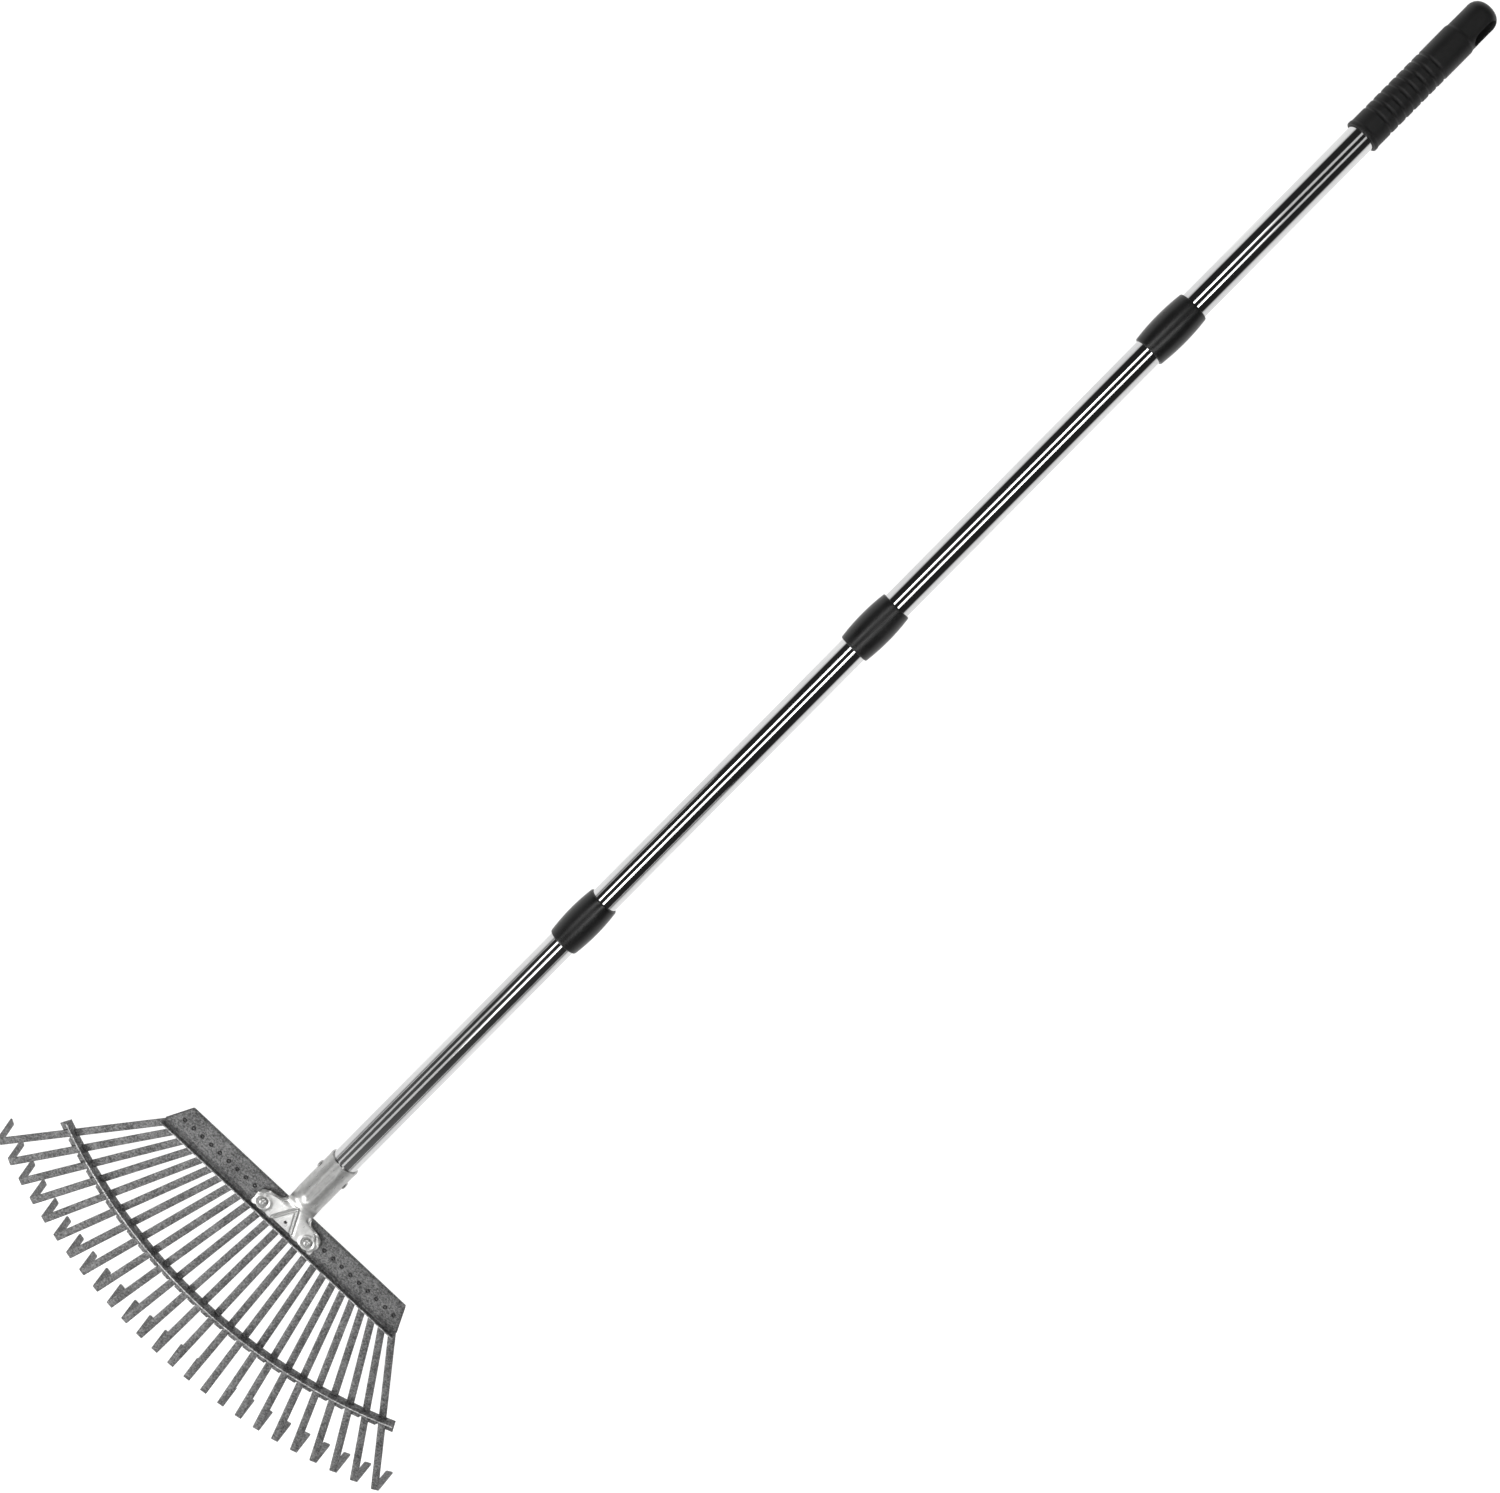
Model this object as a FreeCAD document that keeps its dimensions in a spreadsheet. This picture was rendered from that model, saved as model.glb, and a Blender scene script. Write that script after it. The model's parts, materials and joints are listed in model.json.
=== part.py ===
import FreeCAD, Part
import math
import os
import Sketcher

# Leaf rake with a four-piece screw-together pole.
# Head frame: origin on the tine rivet line, +Y towards the pole, +Z away from the hooks,
# z = 0 on the upper face of the tines. Pole frame: +Z along the pole from the neck to the grip.

V = FreeCAD.Vector
Placement = FreeCAD.Placement
Rotation = FreeCAD.Rotation

os.makedirs("parts", exist_ok=True)
doc = FreeCAD.newDocument("leaf_rake")

# ---------------------------------------------------------------- driving dimensions (mm, degrees)
DIMS = {
    # tines and the two arcs that they reach
    "tine_count": 25,
    "tine_pitch": 10.3,
    "tine_width": 6.8,
    "tine_thick": 1.4,
    "tine_root": 8.0,
    "tine_hole": 2.6,
    "arc_centre": 327.0,
    "brace_radius": 453.0,
    "slot_step": 2.0,
    "tip_radius": 529.0,
    "hook_length": 42.0,
    "hook_angle": 75.5,
    "bend_radius": 2.6,
    "tip_chamfer": 1.1,
    # folded tine plate
    "plate_half": 137.3,
    "plate_front": 15.0,
    "plate_back": 14.5,
    "corner_half": 124.5,
    "corner_start": 4.0,
    "sheet": 1.2,
    "lip_height": 6.0,
    "lip_bend": 0.8,
    "hem_start": 13.0,
    # rivets of the tines
    "rivet_shank": 2.4,
    "rivet_head": 4.2,
    "rivet_rise": 1.0,
    "rivet_tail": 0.8,
    "rivet_edge": 0.2,
    "fixing_play": 0.1,
    "side_rivets": 9,
    "hidden_rivets": 7,
    # slotted brace across the tines
    "brace_sheet": 1.2,
    "brace_rise": 6.5,
    "brace_gap": 0.2,
    "flange_depth": 10.2,
    "brace_overhang": 1.5,
    "slot_width": 7.7,
    "slot_height": 1.7,
    "slot_headroom": 0.15,
    "notch_radius": 4.8,
    "notch_centre": 465.4,
    # socket bracket
    "bracket_sheet": 2.0,
    "arm_span": 25.5,
    "arm_radius": 10.0,
    "front_edge": 10.4,
    "front_half": 9.5,
    "shoulder_half": 12.0,
    "shoulder_drop": 1.6,
    "waist_half": 17.0,
    "waist_rear": 10.0,
    "neck_half": 14.0,
    "neck_rear": 18.0,
    "tab_radius": 2.4,
    "tab_side": 32.7,
    "tab_front": 10.6,
    "dimple_hole": 3.2,
    "dimple_front": 4.5,
    "chevron_half": 11.5,
    "chevron_base": 9.2,
    "chevron_peak": 15.5,
    "chevron_width": 2.2,
    "chevron_rise": 0.6,
    "bracket_rivet_side": 26.2,
    "bracket_rivet_front": 4.9,
    "bracket_rivet_shank": 3.8,
    "bracket_rivet_head": 9.0,
    "bracket_rivet_rise": 2.6,
    "bracket_rivet_tail": 1.0,
    "socket_radius": 14.2,
    "socket_wall": 1.6,
    "socket_start": 10.0,
    "socket_end": 48.8,
    "neck_behind": 20.3,
    "neck_below": 5.6,
    "bend_angle": 11.0,
    "socket_rivet_place": 33.0,
    "socket_rivet_shank": 4.0,
    "socket_rivet_head": 7.0,
    "socket_rivet_rise": 1.6,
    "socket_rivet_edge": 0.4,
    "socket_rivet_slant": 1.0,
    # pole sections and their screw couplings
    "tube_radius": 12.5,
    "tube_wall": 1.0,
    "tube_foot": 15.0,
    "coupling_1_place": 347.0,
    "coupling_2_place": 695.0,
    "coupling_3_place": 1031.0,
    "sleeve_half": 25.0,
    "sleeve_belly": 15.8,
    "sleeve_end_radius": 14.25,
    "sleeve_edge": 0.7,
    "sleeve_clearance": 0.05,
    "mouth_radius": 12.9,
    "mouth_depth": 6.0,
    "thread_bore": 9.5,
    "lower_depth": 20.0,
    "plug_radius": 9.15,
    "plug_bore": 5.5,
    "plug_reach": 22.6,
    "plug_chamfer": 0.8,
    "shank_radius": 11.15,
    "shank_length": 25.0,
    "seat_gap": 0.4,
    # grip
    "grip_start": 1239.0,
    "grip_length": 135.0,
    "grip_radius": 14.75,
    "grip_flare": 15.3,
    "flare_chamfer": 0.6,
    "flare_flat": 2.6,
    "flare_end": 4.2,
    "grip_bore_depth": 101.0,
    "grip_end_play": 2.0,
    "groove_count": 8,
    "groove_first": 18.0,
    "groove_pitch": 8.1,
    "groove_width": 2.2,
    "groove_depth": 0.7,
    "loop_start": 105.0,
    "loop_step": 1.2,
    "loop_radius": 14.0,
    "loop_round": 9.0,
    "hang_slot_width": 13.0,
    "hang_slot_length": 22.0,
    "hang_slot_centre": 119.0,
    "hang_slot_turn": 27.0,
}

sheet = doc.addObject("Spreadsheet::Sheet", "Dims")
for row, (alias, value) in enumerate(DIMS.items(), start=1):
    sheet.set(f"A{row}", alias)
    sheet.set(f"B{row}", str(value))
    sheet.setAlias(f"B{row}", alias)
doc.recompute()


def dim(alias):
    """Value of one cell of the sheet."""
    return float(sheet.get(alias))


# ---------------------------------------------------------------- sketch and feature helpers
def origin_feature(body, role):
    for feature in body.Origin.OriginFeatures:
        if feature.Role == role:
            return feature
    raise ValueError(role)


def new_body(label):
    body = doc.addObject("PartDesign::Body", label)
    body.Label = label
    return body


def new_sketch(body, name, role):
    sketch = body.newObject("Sketcher::SketchObject", name)
    sketch.AttachmentSupport = (origin_feature(body, role), [""])
    sketch.MapMode = "FlatFace"
    return sketch


def value_of(sketch, expression):
    return float(sketch.evalExpression(expression))


def bind(sketch, name, kind, expression, *geometry):
    """Named dimensional constraint whose value follows the sheet."""
    place = value_of(sketch, expression)
    index = sketch.addConstraint(Sketcher.Constraint(kind, *geometry, place))
    sketch.renameConstraint(index, name)
    sketch.setExpression(f"Constraints.{name}", expression)


def pin_point(sketch, geometry, end, name, x_expression, y_expression):
    """Fix one point of the sketch by two distances from the sketch's origin."""
    bind(sketch, f"{name}_x", "DistanceX", x_expression, -1, 1, geometry, end)
    bind(sketch, f"{name}_y", "DistanceY", y_expression, -1, 1, geometry, end)


def outline(sketch, corners, bends=None):
    """Closed outline through the corners, each a pair of expressions.
    bends maps a corner's number to (radius expression, side) of the arc that leaves it."""
    bends = bends or {}
    points = [V(value_of(sketch, x), value_of(sketch, y), 0) for x, y in corners]
    count = len(points)
    for number, start in enumerate(points):
        finish = points[(number + 1) % count]
        if number in bends:
            radius, side = bends[number]
            edge = arc_between(start, finish, value_of(sketch, radius), side)
        else:
            edge = Part.LineSegment(start, finish)
        sketch.addGeometry(edge, False)
    for number, (x, y) in enumerate(corners):
        start_end = 2 if bends.get(number, ("", 1))[1] < 0 else 1
        before = (number - 1) % count
        before_end = 1 if bends.get(before, ("", 1))[1] < 0 else 2
        sketch.addConstraint(Sketcher.Constraint("Coincident", before, before_end, number, start_end))
        pin_point(sketch, number, start_end, f"p{number}", x, y)
    for number, (radius, side) in bends.items():
        chord = points[(number + 1) % count] - points[number]
        half_turn = 2 * value_of(sketch, radius) - chord.Length < 1e-6
        if half_turn and abs(chord.x) < abs(chord.y):
            bind(sketch, f"m{number}", "DistanceX", corners[number][0], -1, 1, number, 3)
        elif half_turn:
            bind(sketch, f"m{number}", "DistanceY", corners[number][1], -1, 1, number, 3)
        else:
            bind(sketch, f"r{number}", "Radius", radius, number)


def arc_between(start, finish, radius, side):
    """Arc from start to finish; side +1 turns left about its centre, -1 turns right."""
    chord = finish - start
    half = chord.Length / 2
    lift = math.sqrt(max(radius * radius - half * half, 0))
    normal = V(-chord.y, chord.x, 0).normalize()
    centre = (start + finish) * 0.5 + normal * lift * side
    first = math.atan2(start.y - centre.y, start.x - centre.x)
    last = math.atan2(finish.y - centre.y, finish.x - centre.x)
    if side < 0:
        first, last = last, first
    circle = Part.Circle(centre, V(0, 0, 1), radius)
    return Part.ArcOfCircle(circle, first, last)


def circle(sketch, radius, x="0", y="0"):
    centre = V(value_of(sketch, x), value_of(sketch, y), 0)
    number = sketch.addGeometry(Part.Circle(centre, V(0, 0, 1), value_of(sketch, radius)), False)
    bind(sketch, f"radius{number}", "Radius", radius, number)
    pin_point(sketch, number, 3, f"c{number}", x, y)


def rectangle(sketch, x_low, x_high, y_low, y_high):
    outline(sketch, [(x_low, y_low), (x_high, y_low), (x_high, y_high), (x_low, y_high)])


def pad(body, sketch, name, length, midplane=False):
    feature = body.newObject("PartDesign::Pad", name)
    feature.Profile = sketch
    feature.setExpression("Length", length)
    feature.Midplane = midplane
    sketch.Visibility = False
    return feature


def revolve(body, sketch, name, degrees="360", midplane=False):
    feature = body.newObject("PartDesign::Revolution", name)
    feature.Profile = sketch
    feature.ReferenceAxis = (sketch, ["V_Axis"])
    feature.setExpression("Angle", degrees)
    feature.Midplane = midplane
    return feature


def cut_through(body, sketch, name, both_ways=True, reversed_cut=False):
    """Pocket through everything; stops the build if it removes nothing."""
    doc.recompute()
    before = body.Shape.Volume
    feature = body.newObject("PartDesign::Pocket", name)
    feature.Profile = sketch
    feature.Type = "ThroughAll"
    feature.Midplane = both_ways
    feature.Reversed = reversed_cut
    doc.recompute()
    if body.Shape.Volume > before - 1e-6:
        raise RuntimeError(f"{body.Label}: {name} cuts nothing")
    return feature


def linear_pattern(body, features, name, length, occurrences, axis="X_Axis"):
    feature = body.newObject("PartDesign::LinearPattern", name)
    feature.Originals = features
    feature.Direction = (origin_feature(body, axis), [""])
    feature.setExpression("Length", length)
    feature.setExpression("Occurrences", occurrences)
    body.Tip = feature
    return feature


def polar_pattern(body, features, name, angle, occurrences):
    feature = body.newObject("PartDesign::PolarPattern", name)
    feature.Originals = features
    feature.Axis = (origin_feature(body, "Z_Axis"), [""])
    feature.setExpression("Angle", angle)
    feature.setExpression("Occurrences", occurrences)
    body.Tip = feature
    return feature


# ---------------------------------------------------------------- rest frame
def tine_line(offset):
    """Angle from the centre line and reach to the tip arc of the tine that is offset places
    from the middle one. Rivets are evenly spaced on the plate and slots on the brace arc."""
    across = dim("tine_pitch") * offset
    turn = math.radians(dim("slot_step") * offset)
    drift = dim("brace_radius") * math.sin(turn) - across
    run = dim("brace_radius") * math.cos(turn) - dim("arc_centre")
    angle = math.atan2(drift, run)
    along = math.sin(angle) * across + math.cos(angle) * dim("arc_centre")
    inside = across ** 2 + dim("arc_centre") ** 2 - dim("tip_radius") ** 2
    reach = -along + math.sqrt(along ** 2 - inside)
    return across, math.degrees(angle), reach


def floor_slope():
    """Fall of the pole towards the grip when the middle hook and the grip stand on the floor."""
    bend = math.radians(dim("bend_angle"))
    hook = math.radians(dim("hook_angle"))
    reach = tine_line(0)[2]
    outside = dim("bend_radius") + dim("tine_thick")
    forward = reach - outside + outside * math.sin(hook) + dim("hook_length") * math.cos(hook)
    drop = outside * (1 - math.cos(hook)) + dim("hook_length") * math.sin(hook)
    ahead = -(forward + dim("neck_behind"))
    below = -(drop - dim("neck_below"))
    tip_along = ahead * math.cos(bend) - below * math.sin(bend)
    tip_up = ahead * math.sin(bend) + below * math.cos(bend)
    grip_along = dim("grip_start") + dim("loop_start")
    grip_up = -dim("grip_radius")
    return math.degrees(math.atan2(grip_up - tip_up, grip_along - tip_along))


SLOPE = floor_slope()
HEAD_DIP = dim("bend_angle") - SLOPE
HEAD = Placement(V(0, 0, 0), Rotation(V(1, 0, 0), HEAD_DIP))
NECK = HEAD.multVec(V(0, dim("neck_behind"), -dim("neck_below")))
POLE = Placement(NECK, Rotation(V(1, 0, 0), -(90 + SLOPE)))


def in_head(x=0.0, y=0.0, z=0.0, turn=0.0):
    return HEAD.multiply(Placement(V(x, y, z), Rotation(V(0, 0, 1), turn)))


def on_pole(along, turn=0.0):
    return POLE.multiply(Placement(V(0, 0, along), Rotation(V(0, 0, 1), turn)))


# ---------------------------------------------------------------- tines
def make_tine(number):
    """Flat spring-steel tine: straight blade, tight bend and straight hook."""
    offset = number - (int(dim("tine_count")) + 1) // 2
    across, angle, reach = tine_line(offset)
    body = new_body(f"tine_{number:02d}")
    side = new_sketch(body, f"tine_side_{number:02d}", "XZ_Plane")
    outside = "(Dims.bend_radius + Dims.tine_thick)"
    turn = f"({offset} * Dims.slot_step)"
    shift = f"({offset} * Dims.tine_pitch)"
    drift = f"(Dims.brace_radius * sin({turn}) - {shift})"
    run = f"(Dims.brace_radius * cos({turn}) - Dims.arc_centre)"
    span = f"sqrt({drift} ^ 2 + {run} ^ 2)"
    along = f"(({drift} * {shift} + {run} * Dims.arc_centre) / {span})"
    inside = f"({shift} ^ 2 + Dims.arc_centre ^ 2 - Dims.tip_radius ^ 2)"
    bend = f"(sqrt({along} ^ 2 - {inside}) - {along} - {outside})"
    sine = "sin(Dims.hook_angle)"
    cosine = "cos(Dims.hook_angle)"
    outer_x = f"{bend} + {outside} * {sine}"
    outer_y = f"{outside} * ({cosine} - 1)"
    corners = [
        ("-Dims.tine_root", "0"),
        ("-Dims.tine_root", "-Dims.tine_thick"),
        (bend, "-Dims.tine_thick"),
        (f"{bend} + Dims.bend_radius * {sine}", f"Dims.bend_radius * {cosine} - {outside}"),
        (f"{outer_x} + Dims.hook_length * {cosine} - Dims.tine_thick * {sine}",
         f"{outer_y} - Dims.hook_length * {sine} - Dims.tine_thick * {cosine}"),
        (f"{outer_x} + Dims.hook_length * {cosine}", f"{outer_y} - Dims.hook_length * {sine}"),
        (outer_x, outer_y),
        (bend, "0"),
    ]
    outline(side, corners, {2: ("Dims.bend_radius", -1), 6: (outside, 1)})
    pad(body, side, f"tine_blade_{number:02d}", "Dims.tine_width", midplane=True)
    hole = new_sketch(body, f"tine_hole_{number:02d}", "XY_Plane")
    circle(hole, "Dims.tine_hole / 2")
    cut_through(body, hole, f"tine_bore_{number:02d}")
    cut = body.Tip
    tip_edges = hook_tip_edges(cut.Shape, dim("tine_thick"))
    chamfer = body.newObject("PartDesign::Chamfer", f"tine_tip_{number:02d}")
    chamfer.Base = (cut, tip_edges)
    chamfer.setExpression("Size", "Dims.tip_chamfer")
    body.Placement = in_head(across, 0, 0, angle - 90)
    return body


def hook_tip_edges(shape, thickness):
    """Names of the two short edges across the sheet at the free end of the hook."""
    lowest = shape.BoundBox.ZMin
    names = []
    for number, edge in enumerate(shape.Edges, start=1):
        short = abs(edge.Length - thickness) < 1e-3
        low = edge.BoundBox.ZMin < lowest + thickness + 1e-3
        if short and low:
            names.append(f"Edge{number}")
    return names


tines = [make_tine(number) for number in range(1, int(dim("tine_count")) + 1)]


# ---------------------------------------------------------------- folded plate that holds the tines
def make_head_plate():
    """One sheet: lip at the front, top layer, rolled hem at the back and a lower layer."""
    body = new_body("head_plate")
    side = new_sketch(body, "plate_side", "YZ_Plane")
    bottom = "-Dims.tine_thick"
    hem_out = "(Dims.sheet + Dims.tine_thick / 2)"
    hem_y = f"Dims.plate_back - {hem_out}"
    lip_in = "-Dims.plate_front"
    lip_out = "-Dims.plate_front - Dims.sheet"
    bend_y = "-Dims.plate_front + Dims.lip_bend"
    bend_z = "Dims.sheet + Dims.lip_bend"
    corners = [
        (lip_in, "Dims.lip_height"),
        (lip_out, "Dims.lip_height"),
        (lip_out, bend_z),
        (bend_y, "0"),
        (hem_y, "0"),
        (hem_y, bottom),
        ("-Dims.hem_start", bottom),
        ("-Dims.hem_start", f"{bottom} - Dims.sheet"),
        (hem_y, f"{bottom} - Dims.sheet"),
        (hem_y, "Dims.sheet"),
        (bend_y, "Dims.sheet"),
        (lip_in, bend_z),
    ]
    bends = {
        2: ("Dims.sheet + Dims.lip_bend", 1),
        4: ("Dims.tine_thick / 2", -1),
        8: (hem_out, 1),
        10: ("Dims.lip_bend", -1),
    }
    outline(side, corners, bends)
    pad(body, side, "plate_fold", "2 * Dims.plate_half", midplane=True)
    ends = new_sketch(body, "plate_ends", "XY_Plane")
    cut_corner(ends, 1)
    cut_corner(ends, -1)
    cut_through(body, ends, "plate_corners")
    hole = new_sketch(body, "plate_hole", "XY_Plane")
    first = "-(Dims.tine_count - 1) / 2 * Dims.tine_pitch"
    circle(hole, "Dims.tine_hole / 2", first)
    bore = cut_through(body, hole, "plate_bore")
    linear_pattern(body, [bore], "plate_bores", "(Dims.tine_count - 1) * Dims.tine_pitch", "Dims.tine_count")
    fixing = new_sketch(body, "plate_fixing_holes", "XY_Plane")
    for sign in ("", "-"):
        circle(fixing, "Dims.bracket_rivet_shank / 2 + Dims.fixing_play",
               f"{sign}Dims.bracket_rivet_side", "-Dims.bracket_rivet_front")
    cut_through(body, fixing, "plate_fixings")
    body.Placement = in_head()
    return body


def cut_corner(sketch, sign):
    """Triangle that slants one rear corner of the plate parallel to its outer tine."""
    margin = 1
    spare = 5
    slant = "(Dims.plate_half - Dims.corner_half) / (Dims.plate_back + Dims.corner_start)"
    outside = f"{sign} * (Dims.plate_half + {slant} * {margin})"
    inside = f"{sign} * (Dims.corner_half - {slant} * {margin})"
    corners = [
        (outside, f"-Dims.corner_start - {margin}"),
        (f"{outside} + {sign * spare}", f"Dims.plate_back + {margin}"),
        (inside, f"Dims.plate_back + {margin}"),
    ]
    start = sketch.GeometryCount
    points = [V(value_of(sketch, x), value_of(sketch, y), 0) for x, y in corners]
    for number in range(3):
        sketch.addGeometry(Part.LineSegment(points[number], points[(number + 1) % 3]), False)
    for number, (x, y) in enumerate(corners):
        sketch.addConstraint(
            Sketcher.Constraint("Coincident", start + (number - 1) % 3, 2, start + number, 1))
        pin_point(sketch, start + number, 1, f"corner{start + number}", x, y)


head_plate = make_head_plate()


# ---------------------------------------------------------------- rivets of the tines
def rivet_outline(sketch, shank, head, rise, bottom, tail_rise, top):
    """Half section of a rivet about the sketch's vertical axis, domed above and flat below."""
    corners = [
        ("0", f"{bottom} - {tail_rise}"),
        (f"{head} / 2 - Dims.rivet_edge", f"{bottom} - {tail_rise}"),
        (f"{head} / 2", f"{bottom} - {tail_rise} + Dims.rivet_edge"),
        (f"{head} / 2", bottom),
        (f"{shank} / 2", bottom),
        (f"{shank} / 2", top),
        (f"{head} / 2", top),
        ("0", f"{top} + {rise}"),
    ]
    dome = f"(({head} / 2) ^ 2 + {rise} ^ 2) / (2 * {rise})"
    outline(sketch, corners, {6: (dome, 1)})


def make_rivet_row(label, count, first, domed):
    """Row of separate rivets on the rivet line, starting first places from the middle."""
    body = new_body(label)
    body.AllowCompound = True
    half = new_sketch(body, f"{label}_half", "XZ_Plane")
    bottom = "(-Dims.tine_thick - Dims.sheet)"
    if domed:
        rivet_outline(half, "Dims.rivet_shank", "Dims.rivet_head", "Dims.rivet_rise",
                      bottom, "Dims.rivet_tail", "Dims.sheet")
    else:
        outline(half, [
            ("0", f"{bottom} - Dims.rivet_tail"),
            ("Dims.rivet_head / 2", f"{bottom} - Dims.rivet_tail"),
            ("Dims.rivet_head / 2", bottom),
            ("Dims.rivet_shank / 2", bottom),
            ("Dims.rivet_shank / 2", "Dims.sheet"),
            ("0", "Dims.sheet"),
        ])
    one = revolve(body, half, f"{label}_one")
    linear_pattern(body, [one], f"{label}_row", f"({count} - 1) * Dims.tine_pitch", count)
    body.Placement = in_head(first * dim("tine_pitch"))
    return body


outer = (int(dim("tine_count")) - 1) // 2
inner = int(dim("hidden_rivets")) // 2
rivets_left = make_rivet_row("tine_rivets_left", "Dims.side_rivets", -outer, True)
rivets_right = make_rivet_row("tine_rivets_right", "Dims.side_rivets", inner + 1, True)
rivets_hidden = make_rivet_row("tine_rivets_hidden", "Dims.hidden_rivets", -inner, False)


# ---------------------------------------------------------------- slotted brace
def make_brace():
    """L-shaped strip bent to the brace arc: slotted web and a scalloped flange under the tines."""
    body = new_body("slotted_brace")
    section = new_sketch(body, "brace_section", "YZ_Plane")
    web_in = "-(Dims.brace_radius - Dims.brace_sheet / 2)"
    web_out = "-(Dims.brace_radius + Dims.brace_sheet / 2)"
    top = "Dims.brace_rise"
    floor = "(-Dims.tine_thick - Dims.brace_gap)"
    corners = [
        (web_in, top),
        (web_out, top),
        (web_out, floor),
        (f"{web_out} - Dims.flange_depth", floor),
        (f"{web_out} - Dims.flange_depth", f"{floor} - Dims.brace_sheet"),
        (web_in, f"{floor} - Dims.brace_sheet"),
    ]
    outline(section, corners)
    sweep = "(Dims.tine_count - 1) * Dims.slot_step"
    revolve(body, section, "brace_strip", f"{sweep} + 2 * Dims.brace_overhang", midplane=True)
    window = new_sketch(body, "brace_slot", "XZ_Plane")
    window.AttachmentOffset = Placement(V(0, 0, 0), Rotation(V(0, 1, 0), 1))
    window.setExpression("AttachmentOffset.Rotation.Angle", f"-({sweep}) / 2")
    rectangle(window, "-Dims.slot_width / 2", "Dims.slot_width / 2",
              "Dims.slot_headroom - Dims.slot_height", "Dims.slot_headroom")
    slot = cut_through(body, window, "brace_slot_cut", both_ways=False, reversed_cut=True)
    scallop = new_sketch(body, "brace_scallop", "XY_Plane")
    scallop.AttachmentOffset = Placement(V(0, 0, 0), Rotation(V(0, 0, 1), 1))
    scallop.setExpression("AttachmentOffset.Rotation.Angle", f"-({sweep}) / 2")
    circle(scallop, "Dims.notch_radius", "0", "-Dims.notch_centre")
    notch = cut_through(body, scallop, "brace_notch")
    polar_pattern(body, [slot, notch], "brace_pattern", sweep, "Dims.tine_count")
    body.Placement = in_head(0, dim("arc_centre"), 0)
    return body


brace = make_brace()


# ---------------------------------------------------------------- socket bracket
def sheet_section(place, radius, half_angle, wall, top):
    """Closed section of a sheet curved about the pole: an arc of the given outer radius and
    half angle whose crown is at the height top above the placement's origin."""
    def at(distance, degrees):
        turn = math.radians(degrees)
        return place.multVec(V(distance * math.sin(turn), 0, top - radius + distance * math.cos(turn)))

    def arc(distance, first, last):
        middle = (first + last) / 2
        return Part.Arc(at(distance, first), at(distance, middle), at(distance, last)).toShape()

    inside = radius - wall
    return Part.Wire([
        arc(radius, -half_angle, half_angle),
        Part.makeLine(at(radius, half_angle), at(inside, half_angle)),
        arc(inside, half_angle, -half_angle),
        Part.makeLine(at(inside, -half_angle), at(radius, -half_angle)),
    ])


def bracket_flange():
    """Flat Y-shaped flange on the plate, with round arm ends and small tabs at the lip."""
    thick = dim("bracket_sheet")
    span = dim("arm_span")
    radius = dim("arm_radius")
    lobe_drop = 2
    front_middle = V(0, -dim("front_edge"), 0)
    front_end = V(dim("front_half"), -dim("front_edge"), 0)
    shoulder = V(dim("shoulder_half"), -dim("front_edge") - dim("shoulder_drop"), 0)
    lobe_front = V(span - 2 * lobe_drop, -radius - lobe_drop, 0)
    lobe_end = V(span + radius, -lobe_drop, 0)
    lobe_rear = V(span - 1, radius - lobe_drop, 0)
    waist = V(dim("waist_half"), dim("waist_rear"), 0)
    neck = V(dim("neck_half"), dim("neck_rear"), 0)
    half = [
        Part.makeLine(front_middle, front_end),
        Part.makeLine(front_end, shoulder),
        Part.makeLine(shoulder, lobe_front),
        Part.Arc(lobe_front, lobe_end, lobe_rear).toShape(),
        Part.Arc(lobe_rear, waist, neck).toShape(),
        Part.makeLine(neck, V(0, dim("neck_rear"), 0)),
    ]
    mirror = [edge.mirror(V(0, 0, 0), V(1, 0, 0)) for edge in half]
    flange = Part.Face(Part.Wire(Part.__sortEdges__(half + mirror))).extrude(V(0, 0, thick))
    hole_radius = dim("bracket_rivet_shank") / 2 + dim("fixing_play")
    for side in (-1, 1):
        tab = Part.makeCylinder(dim("tab_radius"), thick, V(side * dim("tab_side"), -dim("tab_front"), 0))
        place = V(side * dim("bracket_rivet_side"), -dim("bracket_rivet_front"), 0)
        flange = flange.fuse(tab).cut(Part.makeCylinder(hole_radius, thick, place))
    dimple = Part.makeCylinder(dim("dimple_hole") / 2, thick, V(0, -dim("dimple_front"), 0))
    flange = flange.cut(dimple).fuse(embossed_chevron(thick))
    flange.translate(V(0, 0, dim("sheet")))
    return flange


def embossed_chevron(base):
    """Raised ridge on the flange in the shape of an open triangle that points at the pole."""
    foot = -dim("chevron_base")
    outside = dim("chevron_half")
    inside = outside - dim("chevron_width")
    peak = dim("chevron_peak")
    inner_peak = peak - 2 * dim("chevron_width")
    corners = [(-outside, foot), (0, peak), (outside, foot), (inside, foot), (0, inner_peak), (-inside, foot)]
    points = [V(x, y, base) for x, y in corners]
    return Part.Face(Part.makePolygon(points + points[:1])).extrude(V(0, 0, dim("chevron_rise")))


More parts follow.
